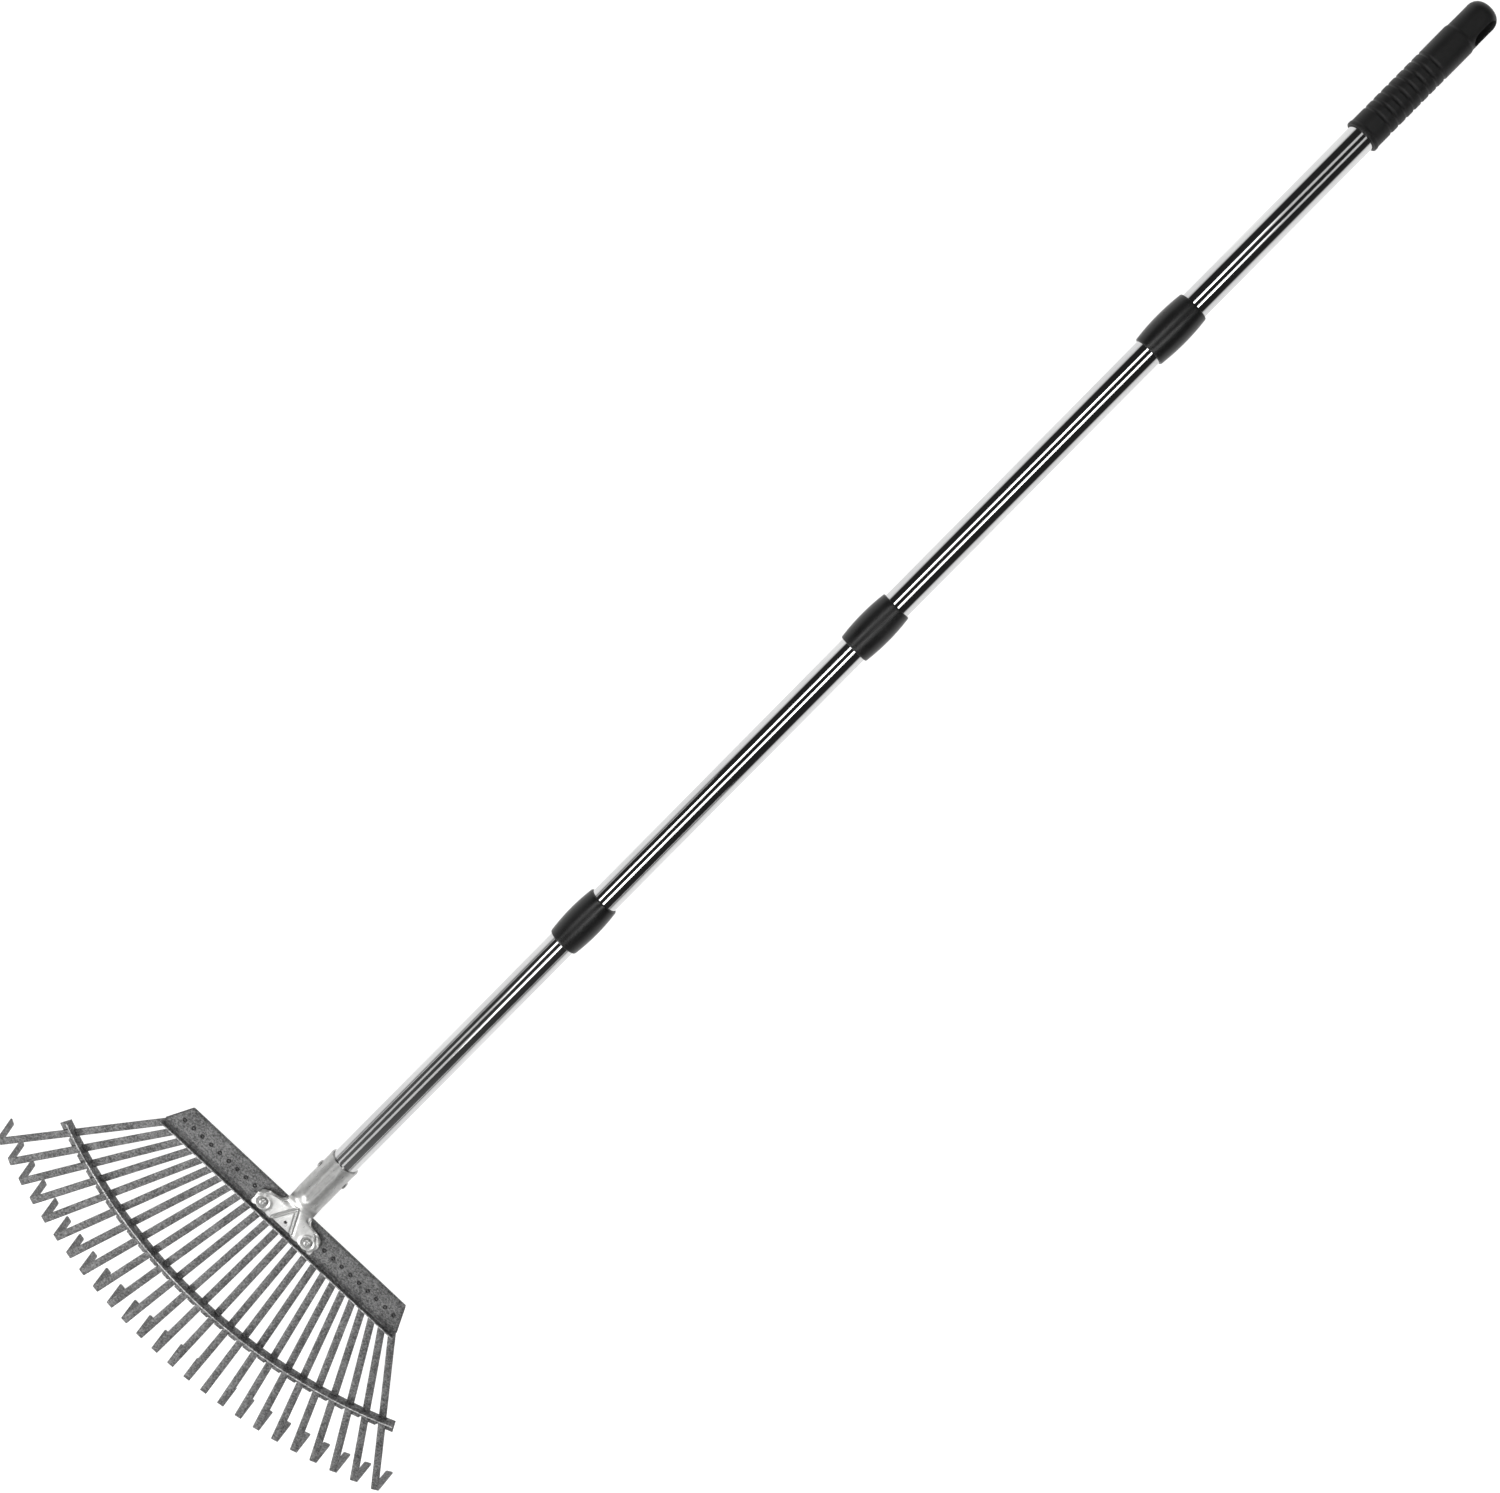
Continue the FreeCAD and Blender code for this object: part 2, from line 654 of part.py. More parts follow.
def make_socket_bracket():
    """Stamped bracket: the flange curls into a split tube that holds the foot of the pole."""
    wall = dim("socket_wall")
    radius = dim("socket_radius")
    sheet_thick = dim("bracket_sheet")
    tube_frame = HEAD.inverse().multiply(POLE)
    across_pole = Placement(V(0, 0, 0), Rotation(V(1, 0, 0), 90))

    def station(along):
        return tube_frame.multiply(Placement(V(0, 0, along), Rotation())).multiply(across_pole)

    def on_plate(behind):
        return Placement(V(0, dim("plate_back") + behind, 0), Rotation())

    seam = 174
    closed = dim("socket_start") + 4.5
    sections = [
        sheet_section(on_plate(0.8), 90, 9.6, sheet_thick, dim("sheet") + sheet_thick),
        sheet_section(on_plate(6), 24, 48, wall + 0.2, 4.6),
        sheet_section(station(dim("socket_start") - 3), radius + 1.2, 105, wall, radius + 0.4),
        sheet_section(station(closed), radius, seam, wall, radius),
    ]
    neck = Part.makeLoft(sections, True, False)
    collar = Part.Face(sheet_section(station(closed), radius, seam, wall, radius))
    along = tube_frame.Rotation.multVec(V(0, 0, 1))
    socket = collar.extrude(along * (dim("socket_end") - closed))
    hole_radius = dim("socket_rivet_shank") / 2 + dim("fixing_play")
    hole_start = tube_frame.multVec(V(-2 * radius, 0, dim("socket_rivet_place")))
    cross = Part.makeCylinder(hole_radius, 4 * radius, hole_start, V(1, 0, 0))
    feature = doc.addObject("Part::Feature", "socket_bracket")
    feature.Label = "socket_bracket"
    feature.Shape = bracket_flange().fuse([neck, socket]).cut(cross).removeSplitter()
    feature.Placement = in_head()
    return feature


bracket = make_socket_bracket()


def make_bracket_rivets():
    """Two large domed rivets that pass between the tines and hold the bracket's arms."""
    body = new_body("bracket_rivets")
    body.AllowCompound = True
    half = new_sketch(body, "bracket_rivet_half", "XZ_Plane")
    rivet_outline(half, "Dims.bracket_rivet_shank", "Dims.bracket_rivet_head", "Dims.bracket_rivet_rise",
                  "(-Dims.tine_thick - Dims.sheet)", "Dims.bracket_rivet_tail",
                  "(Dims.sheet + Dims.bracket_sheet)")
    one = revolve(body, half, "bracket_rivet")
    linear_pattern(body, [one], "bracket_rivet_pair", "2 * Dims.bracket_rivet_side", "2")
    body.Placement = in_head(-dim("bracket_rivet_side"), -dim("bracket_rivet_front"))
    return body


bracket_rivets = make_bracket_rivets()


def make_socket_rivet():
    """Rivet through the socket and the foot of the pole, low domed head at each end."""
    body = new_body("socket_rivet")
    half = new_sketch(body, "socket_rivet_half", "XZ_Plane")
    shank = "Dims.socket_rivet_shank / 2"
    head = "Dims.socket_rivet_head / 2"
    seat = "Dims.socket_radius"
    crown = "(Dims.socket_radius + Dims.socket_rivet_rise)"
    corners = [
        ("0", f"-{crown}"),
        (f"{head} - Dims.socket_rivet_slant", f"-{crown}"),
        (head, f"-{seat} - Dims.socket_rivet_edge"),
        (head, f"-{seat}"),
        (shank, f"-{seat}"),
        (shank, seat),
        (head, seat),
        (head, f"{seat} + Dims.socket_rivet_edge"),
        (f"{head} - Dims.socket_rivet_slant", crown),
        ("0", crown),
    ]
    outline(half, corners)
    revolve(body, half, "socket_rivet_body")
    sideways = Placement(V(0, 0, 0), Rotation(V(0, 1, 0), 90))
    body.Placement = on_pole(dim("socket_rivet_place")).multiply(sideways)
    return body


socket_rivet = make_socket_rivet()


# ---------------------------------------------------------------- pole sections
def coupling_place(number):
    return dim(f"coupling_{number}_place")


def make_tube(number, start_expression, end_expression):
    """Thin-walled steel tube between two places along the pole."""
    body = new_body(f"tube_{number}")
    ring = new_sketch(body, f"tube_ring_{number}", "XY_Plane")
    circle(ring, "Dims.tube_radius")
    circle(ring, "Dims.tube_radius - Dims.tube_wall")
    pad(body, ring, f"tube_pad_{number}", f"{end_expression} - {start_expression}")
    doc.recompute()
    body.Placement = on_pole(value_of(ring, start_expression))
    return body


tubes = []
for number in range(1, 5):
    start = "Dims.tube_foot"
    if number > 1:
        start = f"(Dims.coupling_{number - 1}_place + Dims.sleeve_half - Dims.mouth_depth + Dims.seat_gap)"
    end = "(Dims.grip_start + Dims.grip_bore_depth - Dims.grip_end_play)"
    if number < 4:
        end = f"(Dims.coupling_{number}_place - Dims.sleeve_half + Dims.lower_depth)"
    tubes.append(make_tube(number, start, end))

foot_hole = new_sketch(tubes[0], "tube_foot_hole", "YZ_Plane")
circle(foot_hole, "Dims.socket_rivet_shank / 2 + Dims.fixing_play", "0",
       "Dims.socket_rivet_place - Dims.tube_foot")
cut_through(tubes[0], foot_hole, "tube_foot_bore")


def make_sleeve(number):
    """Barrel-shaped plastic coupling sleeve: socket for the lower tube, female thread and mouth."""
    body = new_body(f"coupling_sleeve_{number}")
    half = new_sketch(body, f"sleeve_half_{number}", "XZ_Plane")
    low = "-Dims.sleeve_half"
    high = "Dims.sleeve_half"
    socket = "Dims.tube_radius + Dims.sleeve_clearance"
    floor = "-Dims.sleeve_half + Dims.lower_depth"
    rise = "(Dims.sleeve_belly - Dims.sleeve_end_radius)"
    run = "(Dims.sleeve_half - Dims.sleeve_edge)"
    belly = f"({run} ^ 2 + {rise} ^ 2) / (2 * {rise})"
    corners = [
        (socket, low),
        ("Dims.sleeve_end_radius - Dims.sleeve_edge", low),
        ("Dims.sleeve_end_radius", f"-{run}"),
        ("Dims.sleeve_end_radius", run),
        ("Dims.sleeve_end_radius - Dims.sleeve_edge", high),
        ("Dims.mouth_radius", high),
        ("Dims.mouth_radius", f"{high} - Dims.mouth_depth"),
        ("Dims.thread_bore", f"{high} - Dims.mouth_depth"),
        ("Dims.thread_bore", floor),
        (socket, floor),
    ]
    outline(half, corners, {2: (belly, 1)})
    revolve(body, half, f"sleeve_{number}")
    body.Placement = on_pole(coupling_place(number))
    return body


def make_plug(number):
    """Hollow screw plug at the lower end of the next section; its thread is in the sleeve."""
    body = new_body(f"threaded_plug_{number}")
    half = new_sketch(body, f"plug_half_{number}", "XZ_Plane")
    seat = "Dims.sleeve_half - Dims.mouth_depth + Dims.seat_gap"
    corners = [
        ("Dims.plug_bore", f"{seat} - Dims.plug_reach"),
        ("Dims.plug_radius - Dims.plug_chamfer", f"{seat} - Dims.plug_reach"),
        ("Dims.plug_radius", f"{seat} - Dims.plug_reach + Dims.plug_chamfer"),
        ("Dims.plug_radius", seat),
        ("Dims.shank_radius", seat),
        ("Dims.shank_radius", f"{seat} + Dims.shank_length"),
        ("Dims.plug_bore", f"{seat} + Dims.shank_length"),
    ]
    outline(half, corners)
    revolve(body, half, f"plug_{number}")
    body.Placement = on_pole(coupling_place(number))
    return body


sleeves = [make_sleeve(number) for number in range(1, 4)]
plugs = [make_plug(number) for number in range(1, 4)]


# ---------------------------------------------------------------- grip
def make_grip():
    """Moulded grip: flared rim, eight ring grooves, and a flattened end with a hanging slot."""
    body = new_body("grip")
    half = new_sketch(body, "grip_half", "XZ_Plane")
    bore = "Dims.tube_radius + Dims.sleeve_clearance"
    loop = "Dims.loop_radius"
    corners = [
        (bore, "0"),
        ("Dims.grip_flare - Dims.flare_chamfer", "0"),
        ("Dims.grip_flare", "Dims.flare_chamfer"),
        ("Dims.grip_flare", "Dims.flare_flat"),
        ("Dims.grip_radius", "Dims.flare_end"),
        ("Dims.grip_radius", "Dims.loop_start - Dims.loop_step"),
        (loop, "Dims.loop_start"),
        (loop, "Dims.grip_length - Dims.loop_round"),
        (f"{loop} - Dims.loop_round", "Dims.grip_length"),
        ("0", "Dims.grip_length"),
        ("0", "Dims.grip_bore_depth"),
        (bore, "Dims.grip_bore_depth"),
    ]
    outline(half, corners, {7: ("Dims.loop_round", 1)})
    revolve(body, half, "grip_turned")
    groove_section = new_sketch(body, "grip_groove_section", "XZ_Plane")
    rectangle(groove_section, "Dims.grip_radius - Dims.groove_depth", "Dims.grip_radius + Dims.groove_width",
              "Dims.groove_first - Dims.groove_width / 2", "Dims.groove_first + Dims.groove_width / 2")
    doc.recompute()
    before = body.Shape.Volume
    groove = body.newObject("PartDesign::Groove", "grip_groove")
    groove.Profile = groove_section
    groove.ReferenceAxis = (groove_section, ["V_Axis"])
    groove.Angle = 360
    doc.recompute()
    if body.Shape.Volume > before - 1:
        raise RuntimeError("the grip's groove cuts nothing")
    linear_pattern(body, [groove], "grip_grooves", "(Dims.groove_count - 1) * Dims.groove_pitch",
                   "Dims.groove_count", "Z_Axis")
    slot = new_sketch(body, "grip_hang_slot", "YZ_Plane")
    slot.AttachmentOffset = Placement(V(0, 0, 0), Rotation(V(0, 1, 0), 1))
    slot.setExpression("AttachmentOffset.Rotation.Angle", "-Dims.hang_slot_turn")
    width = "Dims.hang_slot_width / 2"
    low = "Dims.hang_slot_centre - Dims.hang_slot_length / 2 + Dims.hang_slot_width / 2"
    high = "Dims.hang_slot_centre + Dims.hang_slot_length / 2 - Dims.hang_slot_width / 2"
    corners = [(f"-{width}", low), (width, low), (width, high), (f"-{width}", high)]
    outline(slot, corners, {0: (width, 1), 2: (width, 1)})
    cut_through(body, slot, "grip_slot")
    body.Placement = on_pole(dim("grip_start"))
    return body


grip = make_grip()


# ---------------------------------------------------------------- placing, checks and export
doc.recompute()
parts = tines + [head_plate, rivets_left, rivets_right, rivets_hidden, brace, bracket, bracket_rivets]
parts += [socket_rivet] + tubes + sleeves + plugs + [grip]

whole = Part.makeCompound([part.Shape for part in parts]).optimalBoundingBox(False)
shift = V(-(whole.XMin + whole.XMax) / 2, -(whole.YMin + whole.YMax) / 2, -whole.ZMin)
for part in parts:
    part.Placement = Placement(shift, Rotation()).multiply(part.Placement)
doc.recompute()

for item in doc.Objects:
    if "Invalid" in item.State or "Error" in item.State:
        raise RuntimeError(f"{item.Name} failed: {item.State}")
for part in parts:
    if part.Shape.isNull() or not part.Shape.isValid():
        raise RuntimeError(f"{part.Label} has no valid shape")
for part in parts:
    part.Shape.exportStep(f"parts/{part.Label}.step")

print(f"{len(parts)} parts, slope {SLOPE:.3f}, head dip {HEAD_DIP:.3f}")
print("box", [round(size, 2) for size in (whole.XLength, whole.YLength, whole.ZLength)])
print("neck at", [round(value, 3) for value in NECK.add(shift)])
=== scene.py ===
import json
import math

import bmesh
import bpy
from mathutils import Matrix, Vector


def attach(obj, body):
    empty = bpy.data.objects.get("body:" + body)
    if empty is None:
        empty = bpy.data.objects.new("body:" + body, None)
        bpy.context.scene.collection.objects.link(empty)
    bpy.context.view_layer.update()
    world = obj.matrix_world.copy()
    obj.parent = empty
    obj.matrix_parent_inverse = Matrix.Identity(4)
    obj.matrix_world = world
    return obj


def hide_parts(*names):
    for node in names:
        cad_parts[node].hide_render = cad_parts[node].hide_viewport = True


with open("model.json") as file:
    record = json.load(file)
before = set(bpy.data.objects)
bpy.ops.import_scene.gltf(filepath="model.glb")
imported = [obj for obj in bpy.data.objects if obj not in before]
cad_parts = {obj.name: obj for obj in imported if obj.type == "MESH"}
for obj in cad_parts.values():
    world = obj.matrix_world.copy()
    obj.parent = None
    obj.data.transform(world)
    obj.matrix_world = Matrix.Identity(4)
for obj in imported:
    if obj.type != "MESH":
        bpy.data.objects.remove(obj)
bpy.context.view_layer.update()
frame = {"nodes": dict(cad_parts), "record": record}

# Leaf rake: the looks. Lengths below are millimetres in the head's and the pole's own frames, and
# HEAD and POLE turn them into metres in the shared frame.
MM = 0.001

# ---------------------------------------------------------------- the two frames, from the record
JOINTS = {joint["name"]: joint for joint in frame["record"]["behaviour"]["joints"]}
POLE_AXIS = Vector(JOINTS["coupling_1_turn"]["axis"]).normalized()
COUPLINGS = [Vector(JOINTS[f"coupling_{number}_turn"]["pos_m"]) for number in (1, 2, 3)]
COUPLING_PLACES = [347.0, 695.0, 1031.0]
BEND_ANGLE = math.radians(11)
NECK_BEHIND = 20.3
NECK_BELOW = 5.6

NECK = COUPLINGS[0] - POLE_AXIS * COUPLING_PLACES[0] * MM
SLOPE = math.asin(-POLE_AXIS.z)
HEAD_TURN = Matrix.Rotation(BEND_ANGLE - SLOPE, 4, "X")
HEAD_ORIGIN = NECK - HEAD_TURN @ Vector((0, NECK_BEHIND * MM, -NECK_BELOW * MM))
HEAD = Matrix.Translation(HEAD_ORIGIN) @ HEAD_TURN @ Matrix.Scale(MM, 4)
POLE = Matrix.Translation(NECK) @ Matrix.Rotation(-(math.pi / 2 + SLOPE), 4, "X") @ Matrix.Scale(MM, 4)


# ---------------------------------------------------------------- mesh helpers
SHARP_ANGLE = 35  # degrees between two faces from which their edge counts as sharp


def smooth_by_angle(mesh, degrees):
    """Smooth shading with sharp edges where two faces meet at more than the angle."""
    bm = bmesh.new()
    bm.from_mesh(mesh)
    for face in bm.faces:
        face.smooth = True
    for edge in bm.edges:
        paired = len(edge.link_faces) == 2
        edge.smooth = paired and edge.calc_face_angle(math.pi) < math.radians(degrees)
    bm.to_mesh(mesh)
    bm.free()


def mesh_object(name, bm, place):
    """Object from a mesh in millimetres, put in the shared frame by its place matrix."""
    bmesh.ops.recalc_face_normals(bm, faces=bm.faces)
    bm.transform(place)
    mesh = bpy.data.meshes.new(name)
    bm.to_mesh(mesh)
    bm.free()
    item = bpy.data.objects.new(name, mesh)
    bpy.context.scene.collection.objects.link(item)
    return item


def piece(name, bm, place, body, node, material, angle=SHARP_ANGLE):
    """Finish a visible piece: shade it, give it its material, attach it to its body and hide its CAD node.
    """
    item = mesh_object(name, bm, place)
    smooth_by_angle(item.data, angle)
    item.data.materials.append(material)
    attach(item, body)
    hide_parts(node)
    return item


def apply_modifiers(item):
    """Replace the mesh by its evaluated form, so that nothing is left on the modifier stack."""
    evaluated = item.evaluated_get(bpy.context.evaluated_depsgraph_get())
    mesh = bpy.data.meshes.new_from_object(evaluated)
    item.modifiers.clear()
    item.data = mesh


def add_bevel(item, width):
    """Round the sharp edges, width in millimetres."""
    bevel = item.modifiers.new("edges", "BEVEL")
    bevel.width = width * MM
    bevel.segments = 2
    bevel.limit_method = "ANGLE"
    bevel.angle_limit = math.radians(SHARP_ANGLE)
    apply_modifiers(item)
    smooth_by_angle(item.data, SHARP_ANGLE)


def cut_away(item, name, bm, place, angle):
    """Subtract a closed mesh in millimetres from a piece."""
    cutter = mesh_object(name, bm, place)
    cut = item.modifiers.new(name, "BOOLEAN")
    cut.operation = "DIFFERENCE"
    cut.solver = "EXACT"
    cut.object = cutter
    apply_modifiers(item)
    bpy.data.objects.remove(cutter)
    smooth_by_angle(item.data, angle)


def bridge(bm, rings, closed=True):
    """Skin between successive rings of vertices."""
    for first, second in zip(rings, rings[1:]):
        count = len(first)
        last = count if closed else count - 1
        for number in range(last):
            following = (number + 1) % count
            bm.faces.new((first[number], first[following], second[following], second[number]))


def cap_ends(bm, rings):
    """Close both ends of a skin with one face each."""
    bm.faces.new(rings[0])
    bm.faces.new(rings[-1])


def turned(bm, profile, segments, centre=(0, 0), ring_shaped=True, radius_at=None):
    """Solid of revolution about Z from (radius, height) pairs; radius_at may alter the radius.

    A ring-shaped solid joins its last pair to its first, any other has a cap at each end.
    """
    rings = []
    for radius, height in profile:
        ring = []
        for number in range(segments):
            turn = 2 * math.pi * number / segments
            reach = radius_at(radius, turn, height) if radius_at else radius
            ring.append(bm.verts.new((centre[0] + reach * math.cos(turn),
                                      centre[1] + reach * math.sin(turn), height)))
        rings.append(ring)
    bridge(bm, rings)
    if ring_shaped:
        bridge(bm, [rings[-1], rings[0]])
    else:
        cap_ends(bm, rings)


def arc_points(centre, radius, start, finish, count):
    """Points of an arc in a plane, angles in degrees, with count steps between them."""
    points = []
    for number in range(count + 1):
        turn = math.radians(start + (finish - start) * number / count)
        points.append((centre[0] + radius * math.cos(turn), centre[1] + radius * math.sin(turn)))
    return points


def smoothstep(low, high, value):
    """0 at low, 1 at high and a smooth rise between them; low may be the larger of the two."""
    share = min(max((value - low) / (high - low), 0), 1)
    return share * share * (3 - 2 * share)


# ---------------------------------------------------------------- materials
def new_material(name):
    material = bpy.data.materials.new(name)
    material.use_nodes = True
    tree = material.node_tree
    return material, tree, tree.nodes["Principled BSDF"]


def add_node(tree, kind, **values):
    """New node with values for its input sockets, a space in a socket's name written as _."""
    node = tree.nodes.new(kind)
    for key, value in values.items():
        node.inputs[key.replace("_", " ")].default_value = value
    return node


def noise(tree, scale, detail, roughness, stretch=(1, 1, 1)):
    """Noise in the shared frame, in metres; stretch scales the coordinates for grain."""
    coords = add_node(tree, "ShaderNodeTexCoord")
    mapping = add_node(tree, "ShaderNodeMapping", Scale=stretch)
    texture = add_node(tree, "ShaderNodeTexNoise", Scale=scale, Detail=detail, Roughness=roughness)
    tree.links.new(coords.outputs["Object"], mapping.inputs["Vector"])
    tree.links.new(mapping.outputs["Vector"], texture.inputs["Vector"])
    return texture.outputs["Fac"]


def ramp(tree, value, stops):
    """Colour ramp from (position, grey or colour) stops."""
    node = add_node(tree, "ShaderNodeValToRGB")
    elements = node.color_ramp.elements
    while len(elements) < len(stops):
        elements.new(0.5)
    for element, (position, colour) in zip(elements, stops):
        element.position = position
        element.color = (colour, colour, colour, 1) if isinstance(colour, float) else (*colour, 1)
    tree.links.new(value, node.inputs["Fac"])
    return node.outputs["Color"]


def math_node(tree, operation, first, second):
    """Math node on two terms, each a number or another node's output."""
    node = tree.nodes.new("ShaderNodeMath")
    node.operation = operation
    for socket, value in zip(node.inputs, (first, second)):
        if isinstance(value, (int, float)):
            socket.default_value = value
        else:
            tree.links.new(value, socket)
    return node.outputs["Value"]


def weighted_sum(tree, first, first_weight, second, second_weight):
    return math_node(tree, "ADD", math_node(tree, "MULTIPLY", first, first_weight),
                     math_node(tree, "MULTIPLY", second, second_weight))


def paint(tree, shader, socket, value, stops):
    """Drive one socket of the shader by a ramp over a node's output."""
    tree.links.new(ramp(tree, value, stops), shader.inputs[socket])


def bump(tree, shader, height, strength, distance):
    node = add_node(tree, "ShaderNodeBump", Strength=strength, Distance=distance)
    tree.links.new(height, node.inputs["Height"])
    tree.links.new(node.outputs["Normal"], shader.inputs["Normal"])


def grey_coat(name, level):
    """Mottled grey coat of the tines, plate and brace: speckle, soft cloudiness, fine bumps."""
    material, tree, shader = new_material(name)
    shader.inputs["Metallic"].default_value = 0.35
    speckle = noise(tree, 520, 4, 0.8)
    clouds = noise(tree, 60, 3, 0.5)
    mottle = weighted_sum(tree, speckle, 0.8, clouds, 0.2)
    paint(tree, shader, "Base Color", mottle, [(0.4, level * 0.35), (0.5, level), (0.6, level * 2.0)])
    paint(tree, shader, "Roughness", speckle, [(0.3, 0.62), (0.7, 0.42)])
    bump(tree, shader, speckle, 0.35, 0.0003)
    return material


def bright_zinc():
    """Bright plating on the stamped bracket: faint spangle, drawing marks and dulled patches."""
    material, tree, shader = new_material("bright_zinc")
    shader.inputs["Metallic"].default_value = 0.7
    spangle = noise(tree, 260, 4, 0.6)
    drawn = noise(tree, 120, 4, 0.6, stretch=(6, 0.6, 6))
    paint(tree, shader, "Base Color", spangle, [(0.3, (0.37, 0.37, 0.365)), (0.7, (0.48, 0.48, 0.47))])
    paint(tree, shader, "Roughness", drawn, [(0.3, 0.26), (0.7, 0.38)])
    bump(tree, shader, math_node(tree, "ADD", spangle, drawn), 0.12, 0.0003)
    return material


def pole_steel():
    """Polished tube: fine drawing lines along the pole and a faint haze of handling marks."""
    material, tree, shader = new_material("pole_steel")
    shader.inputs["Metallic"].default_value = 1.0
    lines = noise(tree, 300, 3, 0.6, stretch=(10, 0.15, 10))
    haze = noise(tree, 18, 4, 0.6)
    paint(tree, shader, "Base Color", haze, [(0.35, (0.53, 0.53, 0.535)), (0.65, (0.6, 0.6, 0.6))])
    tree.links.new(weighted_sum(tree, lines, 0.06, haze, 0.08), shader.inputs["Roughness"])
    bump(tree, shader, lines, 0.04, 0.0001)
    return material


def moulded_black(name, level, gloss_level, rough_low, rough_high, grain, strength):
    """Black moulded plastic: fine leathery grain, faint scuffs and uneven gloss."""
    material, tree, shader = new_material(name)
    shader.inputs["Specular IOR Level"].default_value = gloss_level
    texture = noise(tree, grain, 6, 0.65)
    patches = noise(tree, 35, 3, 0.5)
    paint(tree, shader, "Base Color", patches, [(0.3, level * 0.8), (0.7, level * 1.25)])
    gloss = weighted_sum(tree, texture, 0.3, patches, 0.7)
    paint(tree, shader, "Roughness", gloss, [(0.35, rough_low), (0.65, rough_high)])
    bump(tree, shader, texture, strength, 0.0002)
    return material


COAT = grey_coat("grey_coat", 0.1)
# lighter grey coat: a painted highlight on the top edges of the lip and the brace
PAINTED_HIGHLIGHT_COAT = grey_coat("painted_highlight_coat", 0.36)
# very dark coat on the tine rivets: painted shade that makes their pitted heads read as dark dots
SHADED_RIVET_COAT = grey_coat("rivet_painted_shade", 0.035)
ZINC = bright_zinc()
STEEL = pole_steel()
SLEEVE = moulded_black("sleeve_plastic", 0.007, 0.36, 0.27, 0.4, 700, 0.08)
PLUG = moulded_black("plug_plastic", 0.012, 0.5, 0.35, 0.5, 600, 0.1)
GRIP = moulded_black("grip_plastic", 0.005, 0.3, 0.42, 0.6, 1100, 0.3)


# ---------------------------------------------------------------- tines
TINE_COUNT = 25
TINE_PITCH = 10.3
TINE_WIDTH = 6.8
TINE_THICK = 1.4
TINE_ROOT = 8.0
ARC_CENTRE = 327.0
BRACE_RADIUS = 453.0
SLOT_STEP = 2.0
TIP_RADIUS = 529.0
HOOK_LENGTH = 42.0
HOOK_ANGLE = 75.5
BEND_RADIUS = 2.6
BEND_STEPS = 10
STRAIGHT_STEPS = 12
TIP_CHAMFER = 1.1
TIP_TAPER = 0.2
END_THINNING = 0.3
EDGE_ROUND = 0.28


def tine_line(offset):
    """Place across the rivet line, turn in the head's plane and reach to the tip arc."""
    across = TINE_PITCH * offset
    turn = math.radians(SLOT_STEP * offset)
    drift = BRACE_RADIUS * math.sin(turn) - across
    run = BRACE_RADIUS * math.cos(turn) - ARC_CENTRE
    angle = math.atan2(drift, run)
    along = math.sin(angle) * across + math.cos(angle) * ARC_CENTRE
    inside = across ** 2 + ARC_CENTRE ** 2 - TIP_RADIUS ** 2
    return across, angle, -along + math.sqrt(along ** 2 - inside)


def strip_section(width, thick, rounding):
    """Rounded rectangle of a rolled strip: (across, up) pairs about the strip's middle."""
    half_width = width / 2 - rounding
    half_thick = thick / 2 - rounding
    points = []
    for quarter, (x, y) in enumerate(((1, 1), (-1, 1), (-1, -1), (1, -1))):
        centre = (x * half_width, y * half_thick)
        points += arc_points(centre, rounding, 90 * quarter, 90 * quarter + 90, 3)
    return points


def tine_path(reach):
    """Middle line of the tine in its own side plane: (out, up, direction, width)."""
    middle = BEND_RADIUS + TINE_THICK / 2
    bend_start = reach - BEND_RADIUS - TINE_THICK
    outs = [-TINE_ROOT] + [bend_start * number / STRAIGHT_STEPS for number in range(STRAIGHT_STEPS + 1)]
    path = [(out, -TINE_THICK / 2, 0.0, TINE_WIDTH) for out in outs]
    for number in range(1, BEND_STEPS + 1):
        turn = math.radians(HOOK_ANGLE * number / BEND_STEPS)
        path.append((bend_start + middle * math.sin(turn),
                     -TINE_THICK / 2 - middle * (1 - math.cos(turn)), turn, TINE_WIDTH))
    end_out, end_up, turn, _ = path[-1]
    chamfer_start = HOOK_LENGTH - TIP_CHAMFER
    for along in (HOOK_LENGTH / 3, 2 * HOOK_LENGTH / 3, chamfer_start, HOOK_LENGTH - TIP_TAPER, HOOK_LENGTH):
        narrow = max(0, along - chamfer_start)
        path.append((end_out + along * math.cos(turn), end_up - along * math.sin(turn), turn,
                     TINE_WIDTH - 2 * narrow))
    return path


def make_tine(number):
    """One tine: a rolled strip along its path, a little thinner at both ends."""
    offset = number - (TINE_COUNT + 1) // 2
    across, angle, reach = tine_line(offset)
    bm = bmesh.new()
    rings = []
    path = tine_path(reach)
    for station, (out, up, turn, width) in enumerate(path):
        at_end = station in (0, len(path) - 1)
        thick = TINE_THICK - (END_THINNING if at_end else 0)
        ring = []
        for side, height in strip_section(width, thick, EDGE_ROUND):
            ring.append(bm.verts.new((side, -(out + height * math.sin(turn)),
                                      up + height * math.cos(turn))))
        rings.append(ring)
    bridge(bm, rings)
    cap_ends(bm, rings)
    place = HEAD @ Matrix.Translation((across, 0, 0)) @ Matrix.Rotation(angle, 4, "Z")
    piece(f"tine_{number:02d}_blade", bm, place, "head_section", f"tine_{number:02d}", COAT)


for tine_number in range(1, TINE_COUNT + 1):
    make_tine(tine_number)


# ---------------------------------------------------------------- folded plate
PLATE_HALF = 137.3
PLATE_FRONT = 15.0
PLATE_BACK = 14.5
CORNER_HALF = 124.5
CORNER_START = 4.0
SHEET = 1.2
LIP_HEIGHT = 6.0
HEM_START = 13.0
LIP_BEND = 1.1
PLATE_STATIONS = 48
PLATE_BEVEL = 0.25


